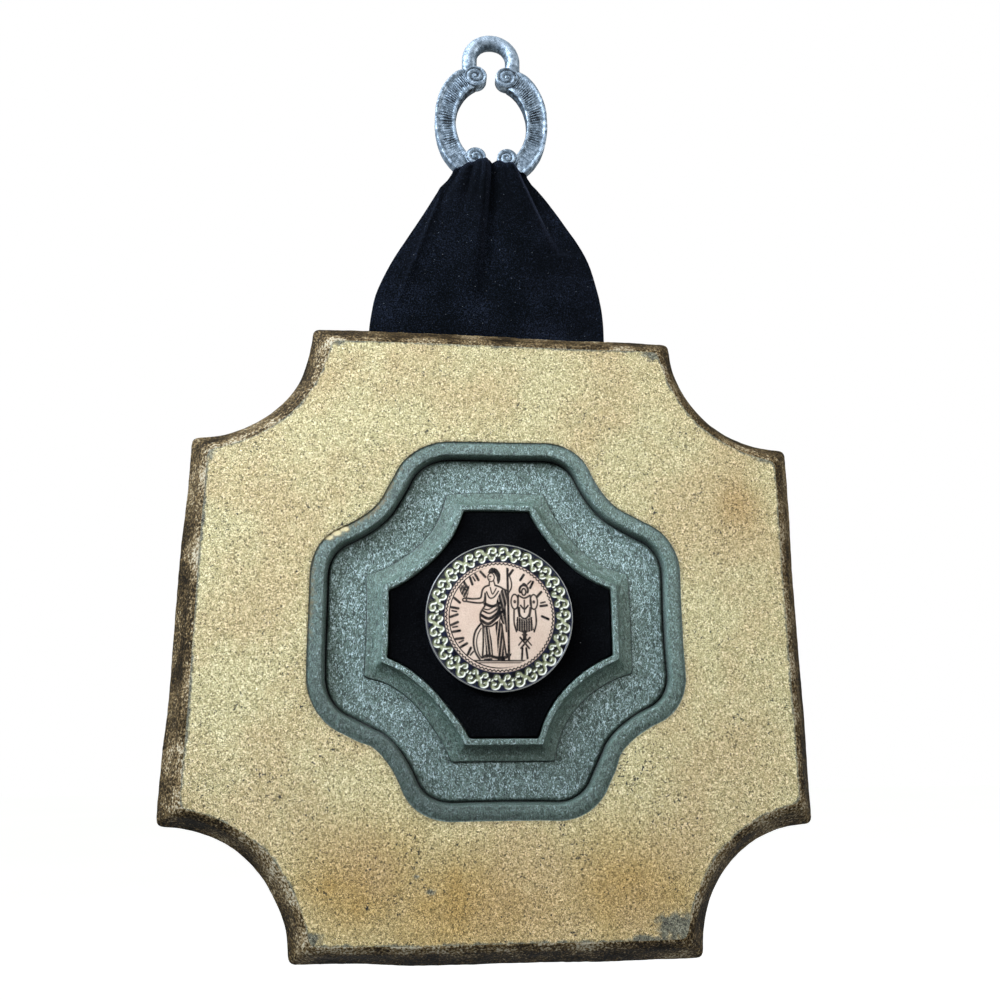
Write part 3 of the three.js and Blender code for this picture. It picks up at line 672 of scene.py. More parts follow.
# A draped standing figure with a staff: outlines and folds in dark ink
def drawFigure(at):
    ink = engrave(at, [
        # Eye, mouth, neck and shoulders
        (16, (-135, 542), (-122, 542)), (10, (-148, 507), (-132, 505)), (16, (-140, 480), (-145, 420)),
        (16, (-82, 480), (-65, 420)), (20, (-145, 420), (-200, 400), (-235, 355), (-250, 280)),
        (20, (-65, 420), (0, 400), (50, 370), (100, 350)),
        # The arm held out
        (20, (-250, 280), (-270, 245), (-360, 235), (-460, 245)),
        (20, (-200, 310), (-215, 200), (-300, 180), (-450, 200)),
        # Bodice, belt and overfold
        (20, (-200, 310), (-195, 220), (-205, 140)), (16, (-180, 330), (-140, 250), (-80, 260), (-20, 340)),
        (14, (-130, 390), (-100, 300), (-50, 380)), (32, (-205, 170), (-100, 135), (0, 180)),
        (20, (-205, 140), (-262, 40), (-258, -70), (-210, -140)), (20, (-240, 80), (-140, 40), (-40, 100)),
        (32, (-260, 20), (-150, -30), (-40, 40), (0, 120)), (32, (-258, -50), (-160, -100), (-60, -30), (20, 60)),
        (20, (-200, -130), (-120, -130), (-50, -80)), (14, (-220, 100), (-160, 90), (-100, 120)),
        # Hem, outer folds and feet
        (20, (-230, -120), (-225, -330), (-235, -540)), (20, (20, -100), (50, -320), (85, -540)),
        (32, (-235, -540), (-150, -520), (-50, -545), (85, -540)),
        (30, (-200, -575), (-120, -570)), (30, (-20, -575), (50, -570)),
        # Shield on the ground, and the staff with its ribbon
        (22, (-260, -100), (-330, -200), (-355, -340), (-330, -470), (-270, -570)),
        (14, (-255, -160), (-300, -250), (-315, -360), (-290, -480), (-250, -550)),
        (26, (105, 660), (118, -570)), (20, (60, 200), (85, -200)),
        (16, (110, 600), (150, 500), (158, 400), (120, 320)),
    ], 1.3)
    # Head and open hand
    ink = np.maximum(ink, engraveOvals(at, [(14, -118, 530, 44, 58), (18, -475, 222, 26, 22)], 1.3))
    rounded = [
        # Helmet crest, mantle, and the small winged thing that the hand holds
        (1, (-165, 590), (-120, 660), (-40, 650), (10, 570), (0, 470), (-30, 440), (-45, 530), (-80, 590)),
        (hatch(at, 0.05, 0.25, 0.6), (20, 360), (85, 350), (90, 200), (70, 60), (85, -80), (40, -100),
         (-20, 20), (-55, 140), (-30, 260)),
        (hatch(at, 0.045, -0.5, 0.55), (-450, 240), (-500, 270), (-550, 380), (-540, 470), (-500, 420),
         (-470, 480), (-450, 390), (-410, 420), (-425, 300)),
    ]
    straight = [
        # The deep folds of the skirt, and the staff's foot
        (hatch(at, 0.042, 0.12), (-215, -140), (-150, -130), (-115, -300), (-90, -540), (-190, -550),
         (-200, -330)),
        (hatch(at, 0.042, -0.12), (-70, -100), (0, -20), (35, -280), (60, -540), (-30, -540), (-45, -300)),
        (1, (80, -490), (155, -490), (118, -580)),
    ]
    for tone, *places in rounded:
        ink = np.maximum(ink, fill(at, flowing(np.array(places) / 1000)) * tone)
    for tone, *places in straight:
        ink = np.maximum(ink, fill(at, np.array(places) / 1000) * tone)
    return ink


# A stand hung with armour between two round shields
def drawArmour(at):
    ink = engrave(at, [
        (18, (300, 420), (330, 450), (370, 420)), (20, (250, 290), (330, 250), (410, 290)),
        (20, (250, 290), (240, 150), (260, 0)), (20, (410, 290), (425, 150), (400, 0)),
        (22, (260, 120), (270, 20), (330, -30), (390, 20), (410, 120)), (18, (330, 220), (330, 60)),
        (20, (280, 150), (330, 100), (380, 150)), (20, (190, 90), (190, -80), (220, -200)),
        (20, (480, 90), (490, -80), (460, -200)), (22, (270, -280), (390, -420)), (22, (400, -280), (280, -420)),
        (16, (300, -240), (420, -380)), (16, (360, -240), (250, -380)), (24, (300, -420), (290, -570)),
        (24, (350, -420), (370, -570)), (40, (330, -200), (330, -300)),
    ], 1.25)
    shields = [(18, 200, 200, 50, 100), (16, 200, 200, 10, 14), (18, 460, 200, 50, 100), (16, 460, 200, 10, 14)]
    ink = np.maximum(ink, engraveOvals(at, [(20, 325, 335, 28, 45), *shields], 1.25))
    ink = np.maximum(ink, engraveOvals(at, [(26, 325, 360, 58, 66)], 1.25, -0.5, 3.64))
    skirt = np.array([(230, 0), (205, -180), (330, -225), (455, -180), (430, 0), (330, -50)]) / 1000
    return np.maximum(ink, fill(at, skirt) * hatch(at, 0.032, 0, 0.6))


# Rows of short strokes where the real print has an inscription
def drawStrokes(at):
    ink = np.zeros(len(at))
    for start, end, count in [(-2.3, -3.5, 8), (2.4, 1.95, 4), (1.32, -0.02, 6)]:
        for i in range(count):
            angle = start + (end - start) * i / (count - 1)
            out = np.array([math.cos(angle), math.sin(angle)])
            along = np.array([-out[1], out[0]])
            lean = 0.018 * math.sin(5.1 * i + start)
            ink = np.maximum(ink, stroke(at, [out * 0.57 + along * lean, out * 0.66 - along * lean], 0.036))
            if i % 2 == 0:
                beside = [out * 0.585 + along * 0.045, out * 0.645 + along * 0.045]
                ink = np.maximum(ink, stroke(at, beside, 0.024))
    return ink


# Two C scrolls back to back, with a knob and a ball, repeated round the border. across is along
# the border from the middle of the pair, out is from the middle of the border
def drawScrolls(across, out, wider=0):
    return engrave(np.column_stack([np.abs(across), out]), [
        (37, (0, 0), (30, 24), (50, 70), (90, 86), (124, 58), (116, 22), (88, 30)),
        (34, (0, -4), (30, -26), (50, -70), (86, -82), (104, -52), (80, -42)),
        (50, (0, -12), (0, 12)), (36, (136, -20), (138, -12)),
    ], wider=wider, fade=0.007)


def printColours(at):
    form = discForm
    colour = {name: np.array(linear(value)) for name, value in form.items() if isinstance(value, str)}
    radius, angle = np.linalg.norm(at, axis=1), np.arctan2(at[:, 1], at[:, 0])
    spread = np.column_stack([at * 27, np.zeros(len(at))])

    def over(base, top, share):
        return base * (1 - share[:, None]) + top * share[:, None]

    # Pink ground, a little uneven, and a border of navy flecked with olive
    shade = over(colour["pink"][None], colour["paper"], 0.5 + 0.5 * ripple(spread, 7, 31))
    edge = form["groundRadius"]
    shade = over(shade, colour["navy"], smooth(edge - 0.006, edge + 0.006, radius))
    inBorder = smooth(0.75, 0.76, radius) * (1 - smooth(0.965, 0.972, radius))
    shade = over(shade, colour["olive"], 0.9 * smooth(0.3, 0.55, ripple(spread, 0.6, 34)) * inBorder)
    shade = over(shade, colour["ink"], smooth(0.1, 0.5, ripple(spread, 1.6, 35)) * inBorder)
    # Cream scrolls in dark outline
    pitch, out = fullTurn / form["scrollCount"], radius - form["borderMiddle"]
    across = ((angle / pitch + 0.67) % 1 - 0.5) * pitch * 0.85
    scroll = drawScrolls(across, out)
    shade = over(shade, colour["ink"], drawScrolls(across, out, 0.024) * inBorder)
    shade = over(shade, colour["cream"] * (0.85 + 0.2 * ripple(spread, 2.2, 32))[:, None], scroll * inBorder)
    # Engraved as if in relief: white along one side of each scroll and dark along the other
    sideways, outwards = 0.017 * np.cos(angle + 2.4), 0.017 * np.sin(angle + 2.4)
    for name, way in (("highlight", 1), ("olive", -1)):
        side = np.clip(scroll - drawScrolls(across + way * sideways, out + way * outwards), 0, 1)
        shade = over(shade, colour[name], side * inBorder)
    # Beaded line round the ground, a dark line inside it, and a painted highlight along the rim at the very edge
    bead = np.abs(radius - form["beadRadius"] - 0.008 * np.cos(angle * form["beadCount"]))
    shade = over(shade, colour["ink"], 1 - smooth(0.007, 0.013, bead))
    inner = 1 - smooth(0.005, 0.011, np.abs(radius - form["beadRadius"] + 0.036))
    shade = over(shade, colour["ink"], inner * smooth(0.1, -0.3, at[:, 0] + 0.3 * at[:, 1]))
    outermost = 1 - smooth(0.003, 0.009, np.abs(radius - form["borderOuter"]))
    shade = over(shade, colour["paintedRimHighlight"], 0.9 * outermost)
    # The picture, standing on a double line
    ground = engrave(at, [(22, (-370, -585), (480, -585)), (14, (-300, -612), (420, -612))])
    picture = np.maximum.reduce([drawFigure(at), drawArmour(at), drawStrokes(at), ground])
    wornInk = (1 - smooth(0.672, 0.68, radius)) * (1 - 0.08 * np.abs(ripple(spread, 1.1, 33)))
    return over(shade, colour["ink"], picture * wornInk)


def buildDisc(finish):
    form = discForm
    low, high = placeOf("medallion")
    centre = (low + high) / 2
    radius = (high[0] - low[0]) / 2
    dome, valley, edgeRound = radius - form["rim"], form["valley"], form["edgeRound"]
    rimZ = low[2] + form["edge"] - valley
    profile = [(dome * share, rimZ + (high[2] - rimZ) * (1 - share ** 2))
               for share in np.linspace(0.006, 1, form["rings"] - 16)]
    for angle in np.linspace(math.pi, 0, 9):
        profile.append(((dome + radius) / 2 + edgeRound * math.cos(angle), rimZ + valley * math.sin(angle)))
    for angle in np.linspace(0, -quarterTurn, 6):
        profile.append((radius - edgeRound * (1 - math.cos(angle)), low[2] + edgeRound * (1 + math.sin(angle))))
    turn = np.linspace(0, fullTurn, form["turns"], endpoint=False)
    rings = [np.column_stack([r * np.cos(turn), r * np.sin(turn), np.full(len(turn), z)]) for r, z in profile]
    points = np.concatenate([*rings, [[0, 0, high[2]], [0, 0, low[2]]]])
    shades = {"print": printColours(points[:, :2] / radius)}
    points[:, :2] += centre[:2] + form["seat"]
    makePiece("printed_medallion", points, cappedFaces(len(rings), len(turn)), [finish],
              "medallion", None, shades)


# Printed paper under a thick clear varnish: bright, with a soft haze and fine scuffs
def printFinish():
    finish, add, shader, (fibre, scuff) = newFinish("varnished print", [(0.5, 3), (3.0, 5, 0.75)])
    printed = add("Attribute", {"attribute_name": "print"})
    tone = add("MapRange", {1: 0.3, 2: 0.7, 3: 0.86, 4: 1.05}, {0: fibre})
    colour = add("Mix", {"data_type": "RGBA", "blend_type": "MULTIPLY", 0: 1.0}, {6: printed, 7: tone}, 2)
    dull = add("MapRange", {1: 0.35, 2: 0.75, 3: 0.22, 4: 0.45}, {0: scuff})
    bump = add("Bump", {"Strength": 0.25, "Distance": 0.1 * mm}, {"Height": scuff})
    feed(shader, {"Specular IOR Level": 0.25, "Coat Weight": 0.3, "Coat Roughness": 0.2},
         {"Base Color": colour, "Roughness": dull, "Normal": bump})
    return finish


buildDisc(printFinish())


# The velvet ribbon, doubled over the ring's cross-bar
ribbonForm = {
    # Left and right edge at shares of the way from the board up to the bar
    "outline": [
        (0.0, -50.2, 47.2), (0.1, -49.4, 47.0), (0.22, -48.0, 46.0), (0.34, -44.6, 43.9), (0.47, -40.0, 41.2),
        (0.59, -34.9, 36.8), (0.7, -30.2, 31.2), (0.8, -26.1, 26.4), (0.89, -22.6, 21.6), (0.96, -18.8, 17.0),
        (1.0, -16.0, 14.2),
    ],
    # The lip over the bar, as depth and rise in mm
    "wrap": [(5.6, 1.2), (5.7, 4.0), (5.1, 6.6), (4.2, 7.3), (3.5, 6.2), (2.6, 4.4), (0.5, 3.6),
             (-3.0, 3.3), (-5.0, 1.6)],
    "wrapRadius": 5.6, "wrapSteps": 3, "pile": 1.0, "tuck": 24.7, "barRise": 69.9, "tailFront": -3.45,
    "tailBack": -5.65, "columns": 150, "tailRows": 8, "frontRows": 120, "backRows": 60,
    # Folds and ridges that run down from the bar: top, foot, depth, how it fades, and width to
    # the left and to the right, each at the top and at the foot
    "folds": [
        ((0.6, -58), (-4.0, -124), 3.4, 0.5, (1.6, 4.2), (1.8, 6.0)),
        ((11.6, -60), (29.5, -99), 3.6, 0.5, (1.6, 2.6), (2.8, 6.0)),
        ((-8.0, -60), (-13.0, -86), 1.6, 1.0, (1.2, 2.6), (1.2, 2.6)),
        ((-4.4, -60), (-7.5, -88), 1.0, 1.0, (0.9, 2.2), (1.0, 2.2)),
        ((-13.0, -62), (-25.0, -84), 1.4, 1.0, (1.4, 3.0), (1.4, 3.0)),
        ((5.4, -60), (10.0, -82), 1.2, 1.0, (1.0, 2.4), (1.0, 2.4)),
        ((-2.6, -62), (-7.6, -124), -2.0, 0.5, (2.6, 5.0), (1.8, 3.0)),
        ((8.0, -60), (25.0, -98), -1.6, 0.5, (3.0, 5.0), (2.0, 3.0)),
        ((-22.0, -76), (-38.5, -122), -1.1, 0.3, (0.8, 1.0), (1.2, 2.0)),
    ],
    "look": {
        "napSize": 0.5, "patchSize": 30, "pile": [(0.54, "#010202"), (0.7, "#06080b"), (0.86, "#1d232f")],
        "lint": "#7d8288", "lintSpacing": 1.7, "lintSize": 0.06, "lintShare": 0.5,
        "sheen": 0.34, "sheenTint": "#7682a2",
    },
}

boardTopY = boardHigh[1]
barY = boardTopY + ribbonForm["barRise"]


# How far a fold takes the face back at those places
def foldDepth(fold, x, y):
    (topX, topY), (footX, footY), depth, fade, left, right = fold
    share = np.clip((topY - y) / (topY - footY), 0, 1)
    away = x - (topX + (footX - topX) * share)
    width = np.where(away < 0, left[0] + (left[1] - left[0]) * share, right[0] + (right[1] - right[0]) * share)
    return depth * (1 - share) ** fade * np.exp(-np.abs(away / width) ** 1.7)


def buildRibbon():
    form = ribbonForm
    s = np.linspace(-1, 1, form["columns"])
    steps, lefts, rights = np.array(form["outline"]).T

    # Half width and middle at height y, as the ribbon spreads from the gather to the board
    def span(y):
        t = np.clip((y - boardTopY) / (barY - boardTopY), 0, 1)
        near = np.clip([t - 0.04, t, t + 0.04], 0, 1)
        left, right = np.interp(near, steps, lefts).mean(), np.interp(near, steps, rights).mean()
        return t, (right - left) / 2, (right + left) / 2

    def front(y):
        t, half, shift = span(y)
        x = shift + s * half
        z = form["tailFront"] + (form["wrapRadius"] - form["tailFront"]) * t
        depth = sum(foldDepth(fold, x, y) for fold in form["folds"])
        roundOff = (0.6 + 1.2 * smooth(0.15, 0.8, t)) * np.abs(s) ** 5 * smooth(0, 0.3, t)
        z = z - depth * smooth(0, 0.16, t) - roundOff
        return np.column_stack([x, np.full_like(x, y), np.maximum(z, form["tailFront"] - 0.4 + 6.7 * t)])

    def back(y):
        t, half, shift = span(y)
        swell = 0.9 * smooth(0.3, 1, t) * (np.cos(s * 9 + 0.6) - 1)
        z = form["tailBack"] - swell * 0.5 + 1.6 * np.abs(s) ** 5 * smooth(0.1, 1, t)
        return np.column_stack([shift + s * half, np.full_like(s, y), z])

    rows = [front(y) for y in np.linspace(boardTopY - form["tuck"], boardTopY, form["tailRows"], endpoint=False)]
    rows += [front(boardTopY + (barY - boardTopY) * t) for t in np.linspace(0, 1, form["frontRows"])]
    # Over the bar: a bunched lip stands in front of the scrolls, then the ribbon dives under them
    start, end, middle = rows[-1], back(barY), span(barY)[2]
    dip = 0.02 * np.exp(-((s - 0.08) / 0.1) ** 2) + 0.03 * np.cos(s * 11 + 0.8) + 0.62 * np.abs(s) ** 2.4
    path = flowing(form["wrap"], form["wrapSteps"])
    for depth, rise in path:
        share = (path[0][0] - depth) / (path[0][0] - path[-1][0])
        row = start * (1 - share) + end * share
        row[:, 1] = barY + rise * (1 - dip * smooth(1, 6, rise))
        row[:, 0] = middle + (row[:, 0] - middle) * (1 - 0.13 * smooth(0, 5, rise))
        rows.append(row)
    rows += [back(boardTopY + (barY - boardTopY) * t) for t in np.linspace(1, 0, form["backRows"])]
    rows += [back(y) for y in np.linspace(boardTopY, boardTopY - form["tuck"], form["tailRows"] + 1)[1:]]

    count, skin = len(s), np.concatenate(rows)
    uneven = 0.12 * ripple(skin, 6, 41) + 0.05 * ripple(skin, 1.8, 42)
    skin[:, 2] += uneven * smooth(boardTopY - 2, boardTopY + 8, skin[:, 1])
    outerFaces = gridFaces(len(rows), count, closed=False)
    normals = normalsOf(skin, outerFaces)
    if normals[len(rows) // 4 * count + count // 2, 2] < 0:
        normals = -normals
    points = np.concatenate([skin, skin - normals * form["pile"]])
    total = len(skin)
    border = np.concatenate([
        np.arange(count), np.arange(2 * count - 1, total, count),
        np.arange(total - 2, total - count - 1, -1), np.arange(total - 2 * count, 0, -count),
    ])
    after = np.roll(border, -1)
    rim = np.stack([border, after, after + total, border + total], axis=-1)
    faces = np.concatenate([outerFaces, outerFaces[:, ::-1] + total, rim[:, ::-1]])
    finish = velvetFinish("navy-black silk velvet", form["look"])
    ribbon = makePiece("ribbon_velvet_loop", points, faces, [finish], "velvet_ribbon")


buildRibbon()


# The cast ring: two dished and ribbed arms, each ending in a volute, under a round loop
ringForm = {
    "width": 48.6, "height": 56.7, "depth": 5, "armWidth": 9.4, "armEndWidth": 11.9,
    # Middle height, half width and half height of the ring's outer and inner edge
    "outer": (-37.2, 24.4, 29.4), "inner": (-38.4, 15.4, 20.2), "squareness": 2.2, "tipSink": 0.9,
    "rim": 0.1, "rimRound": 0.7, "dish": 0.5, "ribs": 46, "ribHeight": 0.5,
    "volutes": {1: 4.9, -1: 4.4}, "spread": 13.6, "turns": 1.75, "eye": 0.9, "sink": 0.6, "voluteShift": 1.1,
    "voluteEdge": 0.6, "voluteSides": 120, "voluteRings": 44,
    "hole": 11.9, "stock": 7.1, "rise": 29.4, "barStock": 3.8, "barBow": 1.1,
    "sections": 460, "sideSteps": 5, "faceSteps": 30,
}
loopY = -ringForm["hole"] / 2
ringY = loopY - ringForm["rise"]


# 1 along the middle, 0 at both ends, changing over that share of the length
def fadeAt(along, reach):
    return smooth(0, reach, along) * smooth(1, 1 - reach, along)


# Skin and shade of a loft whose cross-sections are closed loops
def closedLoft(sections, hollow=None):
    points = np.concatenate([sections.reshape(-1, 3), [sections[0].mean(axis=0), sections[-1].mean(axis=0)]])
    hollow = np.zeros(len(points) - 2) if hollow is None else hollow.reshape(-1)
    return points, facingOut(points, cappedFaces(*sections.shape[:2])), np.append(hollow, [0, 0])


# One arm, as a loft of cross-sections round the oval
def armParts(side):
    form = ringForm
    front, rimRound, rim = form["depth"] / 2, form["rimRound"], form["rim"]
    reach = math.acos(form["spread"] / 2 / form["inner"][1])
    angle = np.linspace(reach, -reach, form["sections"])[:, None]
    along = np.linspace(0, 1, form["sections"])[:, None]
    # Across the arm: back, outer side, face and inner side, with rounded arrises
    face = np.linspace(1, 0, form["faceSteps"] + 1)
    bend = np.linspace(0, quarterTurn, form["sideSteps"])
    roundShare = rimRound / form["armWidth"]
    share = np.concatenate([
        1 - roundShare * (1 - np.cos(bend - quarterTurn)), 1 - roundShare * (1 - np.cos(bend)),
        face[1:-1] * (1 - 2 * roundShare) + roundShare,
        roundShare * (1 - np.sin(bend)), roundShare * (1 - np.cos(bend)),
    ])[None, :]
    level = np.concatenate([
        -front + rimRound * (1 + np.sin(bend - quarterTurn)), front - rimRound * (1 - np.sin(bend)),
        np.full(form["faceSteps"] - 1, front),
        front - rimRound * (1 - np.cos(bend)), -front + rimRound * (1 - np.sin(bend)),
    ])[None, :]
    bowl = smooth(rim, 2.3 * rim, share) * smooth(1 - rim, 1 - 2.3 * rim, share) * (level > front - 0.01)
    bowl = bowl * fadeAt(along, 0.05)
    # Ribs across the inner half, sharp near the top and worn towards the bottom
    wornRibs = (0.7 + 0.3 * np.sin(along * 31 + side)) * smooth(0.95, 0.45, along) * smooth(0.85, 0.5, share)
    ribs = 0.5 + 0.5 * np.cos(along * form["ribs"] * fullTurn)
    level = level - bowl * (form["dish"] - form["ribHeight"] * ribs * wornRibs)
    # Outer edge a little squarer than an ellipse, inner edge an ellipse; the tips sink under the volutes
    (outerY, outerWide, outerHigh), (innerY, innerWide, innerHigh) = form["outer"], form["inner"]
    square, across, up = 2 / form["squareness"], np.cos(angle), np.sin(angle)
    outerX, outerUp = outerWide * across ** square, outerY + outerHigh * np.sign(angle) * np.abs(up) ** square
    innerX, innerUp = innerWide * across, innerY + innerHigh * up
    x = side * (innerX + (outerX - innerX) * share)
    y = innerUp + (outerUp - innerUp) * share
    level = level - form["tipSink"] * (1 - fadeAt(along, 0.1)) * (level > 0)
    # Darker in the dish and the rib valleys, where patina stays, and along the arm's inner side, where painted
    # shade stands in for its shadow
    hollow = np.maximum(bowl * (0.1 + 1.2 * (1 - ribs) * wornRibs), 0.8 * smooth(0.03, 0, share))
    return closedLoft(np.stack([x, y, level + 0 * x], axis=-1), hollow + 0 * x)


# Round or flattened bar along a path in the wall's plane
def barParts(path, halfWide, halfDeep, sides=28):
    halfDeep = np.broadcast_to(halfDeep, len(path))[:, None]
    ahead = np.gradient(path, axis=0)
    ahead /= np.linalg.norm(ahead, axis=1)[:, None]
    turn = np.linspace(0, fullTurn, sides, endpoint=False)
    across = np.stack([-ahead[:, 1], ahead[:, 0]], axis=1)
    flat = path[:, None] + across[:, None] * (halfWide * np.cos(turn))[None, :, None]
    return closedLoft(np.concatenate([flat, (halfDeep * np.sin(turn))[..., None]], axis=-1))


# A volute: a drum whose face carries a spiral ridge round a small eye
def voluteParts(side, end):
    form = ringForm
    radius, front, depth = form["volutes"][end], form["depth"] / 2, form["depth"]
    edge, inside, eyeRadius = form["voluteEdge"], form["voluteRings"], form["eye"]
    centreY = ringY + end * (form["height"] / 2 - form["armEndWidth"] + radius - form["voluteShift"])
    turn = np.linspace(0, fullTurn, form["voluteSides"], endpoint=False)[None, :]
    bend = np.linspace(0, quarterTurn, 6)[1:]
    fall, lean = edge * (1 - np.cos(bend)), edge * np.sin(bend)
    out = np.concatenate([
        np.linspace(0.02, 1, inside) * (radius - edge), radius - edge + lean,
        np.full(5, radius), radius - fall])[:, None]
    drop = np.concatenate([np.zeros(inside), fall, np.linspace(1, depth - 1, 5), depth - edge + lean])[:, None]
    # Distance from the spiral, which starts at the outer side and winds in
    pitch = (radius - eyeRadius) / form["turns"]
    winding = (out - eyeRadius) / pitch - turn / fullTurn
    away = np.abs(winding - np.round(winding)) * pitch
    # A broad ridge with a narrow groove beside it
    ridge = np.clip(away / (0.5 * pitch), 0, 1) ** 0.5
    eye = np.sqrt(np.clip(1 - (out / eyeRadius) ** 2, 0, 1))
    relief = np.maximum(np.where(out < eyeRadius, eye, ridge), smooth(radius - 0.6, radius - 0.2, out))
    onFace = drop < edge + 0.01
    x = side * form["spread"] / 2 - side * out * np.cos(turn)
    y = centreY + end * out * np.sin(turn)
    z = front + 0.15 - drop - form["sink"] * (1 - relief) * onFace + 0 * x
    return closedLoft(np.stack([x, y, z], axis=-1), 1.3 * (1 - relief) ** 1.5 * onFace + 0 * x)


def loopPath():
    form = ringForm
    radius = (form["hole"] + form["stock"]) / 2
    foot = np.linspace(ringY + (form["height"] - form["armEndWidth"]) / 2, loopY, 8)[:-1]
    right = np.column_stack([np.full_like(foot, radius), foot])
    return np.concatenate([right, arc(0, loopY, radius, 0, math.pi, 72), right[::-1] * [-1, 1]])


def barPath():
    form = ringForm
    high = form["height"] / 2 + form["barBow"]
    turned = arc(0, 0, 1, math.radians(-144), math.radians(-36), 59)
    return turned * [(form["width"] - form["barStock"]) / 2, high] + [0, ringY]


def buildRing(finish):
    form = ringForm
    parts = [armParts(side) for side in (-1, 1)]
    parts += [voluteParts(side, end) for side in (-1, 1) for end in (-1, 1)]
    # The loop thins where it goes under the volutes; painted shade darkens the inside of its hole, and it is
    # paler towards its top
    loop, halfStock = loopPath(), form["stock"] / 2
    feet = smooth(loopY - 8, loopY - 1, loop[:, 1])
    loopPoints, loopFaces, loopPatinaAndShade = barParts(loop, halfStock - 0.3, 1.7 + (halfStock - 2.0) * feet)
    away = np.hypot(loopPoints[:, 0], loopPoints[:, 1] - loopY)
    inside = smooth(form["hole"] / 2 + 2.2, form["hole"] / 2 + 0.4, away)
    loopPatinaAndShade = loopPatinaAndShade + 0.8 * inside - 0.4 * smooth(loopY - 6, loopY + 2, loopPoints[:, 1])
    halfBar = form["barStock"] / 2
    parts += [(loopPoints, loopFaces, loopPatinaAndShade), barParts(barPath(), halfBar, halfBar)]
    points, faces, hollow, start = [], [], [], 0
    for partPoints, partFaces, partPatinaAndShade in parts:
        # Cast surface: slow unevenness, and small pits
        uneven = 0.08 * ripple(partPoints, 3.5, 51) + 0.03 * ripple(partPoints, 1.1, 52)
        onFace = smooth(0.1, 0.2, partPatinaAndShade) * smooth(1.0, 1.5, partPoints[:, 2])
        pits = smooth(0.6, 0.85, ripple(partPoints, 1.4, 53)) * 0.3 * onFace
        points.append(partPoints + normalsOf(partPoints, partFaces) * (uneven - pits)[:, None])
        faces.append(partFaces + start)
        hollow.append(np.where(pits > 0.01, np.maximum(partPatinaAndShade, pits * 3), partPatinaAndShade))
        start += len(partPoints)
    makePiece("pewter_ring", np.concatenate(points), np.concatenate(faces), [finish],
              "hanger_ring", None, {"hollow": np.concatenate(hollow)})


# Cast pewter, blackened and rubbed back: dark in the hollows and pits, grey and soft on
# the outer sides, paler at the loop's top; painted shade darkens the arms' inner sides and the inside of the loop
def pewterFinish():
    patina = [(0.16, "#0e141b"), (0.42, "#57656f"), (0.66, "#95a3ae")]
    finish, add, shader, (cloud, grain) = newFinish("antiqued cast pewter", [(1.8, 3, 0.65), (0.7, 3)])
    hollow = add("Attribute", {"attribute_name": "hollow"}, out="Fac")
    kept = add("Math", {"operation": "MULTIPLY_ADD", 1: -0.28}, {0: hollow, 2: cloud})
    colour = add("ValToRGB", {"ramp": patina}, {"Fac": kept})
    dull = add("MapRange", {1: 0.2, 2: 0.65, 3: 0.72, 4: 0.5}, {0: kept})
    bump = add("Bump", {"Strength": 0.6, "Distance": 0.15 * mm}, {"Height": grain})
    feed(shader, {"Metallic": 0.5}, {"Base Color": colour, "Roughness": dull, "Normal": bump})
    return finish


buildRing(pewterFinish())


# The camera, where the photograph was taken from: low and a little to the left
cameraSetup = {"place": (-32.7, -360.0, -296.4), "turn": (104.095, 0.360, -5.549), "lens": 34.29, "sensor": 36}

camera = bpy.data.objects.new("camera", bpy.data.cameras.new("camera"))
camera.data.lens = cameraSetup["lens"]
camera.data.sensor_width = cameraSetup["sensor"]
camera.data.clip_start = 0.01
camera.location = [value * mm for value in cameraSetup["place"]]
camera.rotation_euler = [math.radians(value) for value in cameraSetup["turn"]]
bpy.context.scene.collection.objects.link(camera)
bpy.context.scene.camera = camera


# The studio: a pale floor, a pale sky and large soft lamps, in metres
studio = {
    "floorLevel": -0.62, "floorReach": 6, "floorTones": [(0.3, "#c4c4c1"), (0.7, "#cacac7")],
    "cloudSize": 500, "floorColour": "#f4f4f2", "floorGlow": 0.95, "glowFrom": 0.25, "glowTo": 0.9,
    "skyColour": "#ffffff", "skyStrength": 1.0, "fillColour": "#eaf0f6", "fillStrength": 0.28, "spread": 75,
    # Place, aim, size, power and colour
    "lamps": {
        "window": ((-0.55, -0.85, 0.5), (-0.04, 0, -0.1), 0.6, 2.1, "#f6f8ff"),
        "top": ((-0.25, -0.3, 0.7), (0, 0, -0.2), 0.4, 0.35, "#ffffff"),
        "left": ((-0.75, -0.35, 0.3), (-0.03, 0, -0.2), 0.4, 4.4, "#dae8fb"),
        "right": ((0.85, -0.5, 0.15), (0, 0, -0.15), 0.4, 1.6, "#f0f4fa"),
    },
}


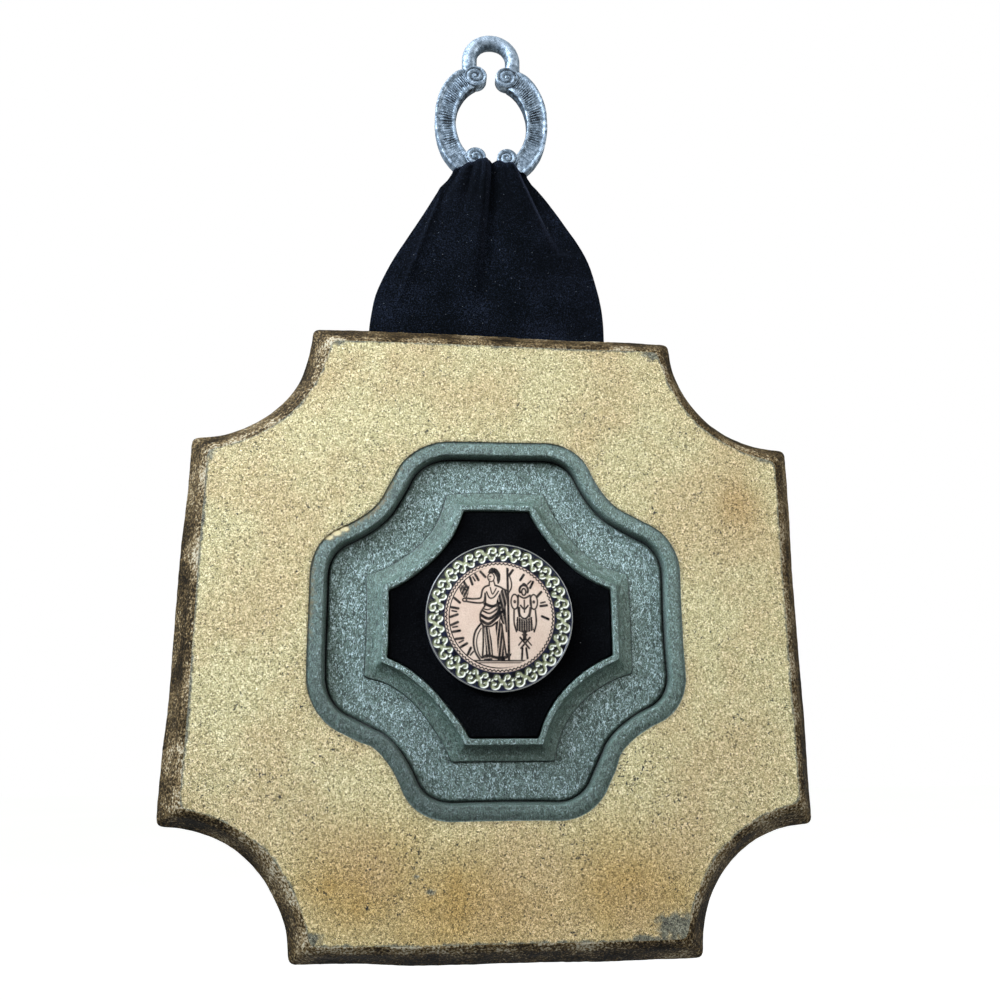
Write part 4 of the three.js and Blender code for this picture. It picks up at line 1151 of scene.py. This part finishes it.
def buildFloor():
    reach, level = studio["floorReach"] / mm, studio["floorLevel"] / mm
    finish, add, shader, (cloud,) = newFinish("pale studio floor", [(studio["cloudSize"], 2)])
    place = add("TexCoord", out="Object")
    tone = add("ValToRGB", {"ramp": studio["floorTones"]}, {"Fac": cloud})
    # The far floor is lit as the backdrop is, the near floor stays soft
    depth = add("SeparateXYZ", {}, {0: place}, "Y")
    glow = add("MapRange", {1: studio["glowFrom"], 2: studio["glowTo"], 3: 0.0, 4: studio["floorGlow"]},
               {0: depth})
    feed(shader, {"Roughness": 0.9, "Emission Color": studio["floorColour"]},
         {"Base Color": tone, "Emission Strength": glow})
    signs = [(-1, 1), (1, 1), (1, -1), (-1, -1)]
    corners = np.array([(x * reach, level, z * reach) for x, z in signs])
    makeObject("floor", corners, [(0, 1, 2, 3)], [finish])


def buildSky():
    sky = bpy.data.worlds.new("pale sky")
    sky.use_nodes = True
    sky.node_tree.nodes.clear()
    add = partial(addNode, sky.node_tree)
    seen = add("Background", {"Color": studio["skyColour"], "Strength": studio["skyStrength"]})
    # What lights the plaque is bright above and dim below
    height = add("SeparateXYZ", {}, {0: add("TexCoord", out="Generated")}, "Z")
    level = add("MapRange", {1: -0.2, 2: 0.8, 3: 0.05, 4: 1.2}, {0: height})
    strength = add("Math", {"operation": "MULTIPLY", 1: studio["fillStrength"]}, {0: level})
    fill = add("Background", {"Color": studio["fillColour"]}, {"Strength": strength})
    both = add("MixShader", {}, {0: add("LightPath", out="Is Camera Ray"), 1: fill, 2: seen})
    feed(sky.node_tree.nodes.new("ShaderNodeOutputWorld"), {}, {"Surface": both})
    bpy.context.scene.world = sky


def buildLamps():
    for name, (place, aim, size, power, colour) in studio["lamps"].items():
        light = bpy.data.lights.new(name, "AREA")
        light.shape, light.size, light.energy = "SQUARE", size, power
        light.spread = math.radians(studio["spread"])
        light.color = linear(colour)[:3]
        lamp = bpy.data.objects.new(name, light)
        lamp.location = place
        lamp.rotation_euler = (Vector(aim) - Vector(place)).to_track_quat("-Z", "Y").to_euler()
        bpy.context.scene.collection.objects.link(lamp)


buildFloor()
buildSky()
buildLamps()
bpy.context.scene.view_settings.view_transform = "Standard"
print("studio ready")
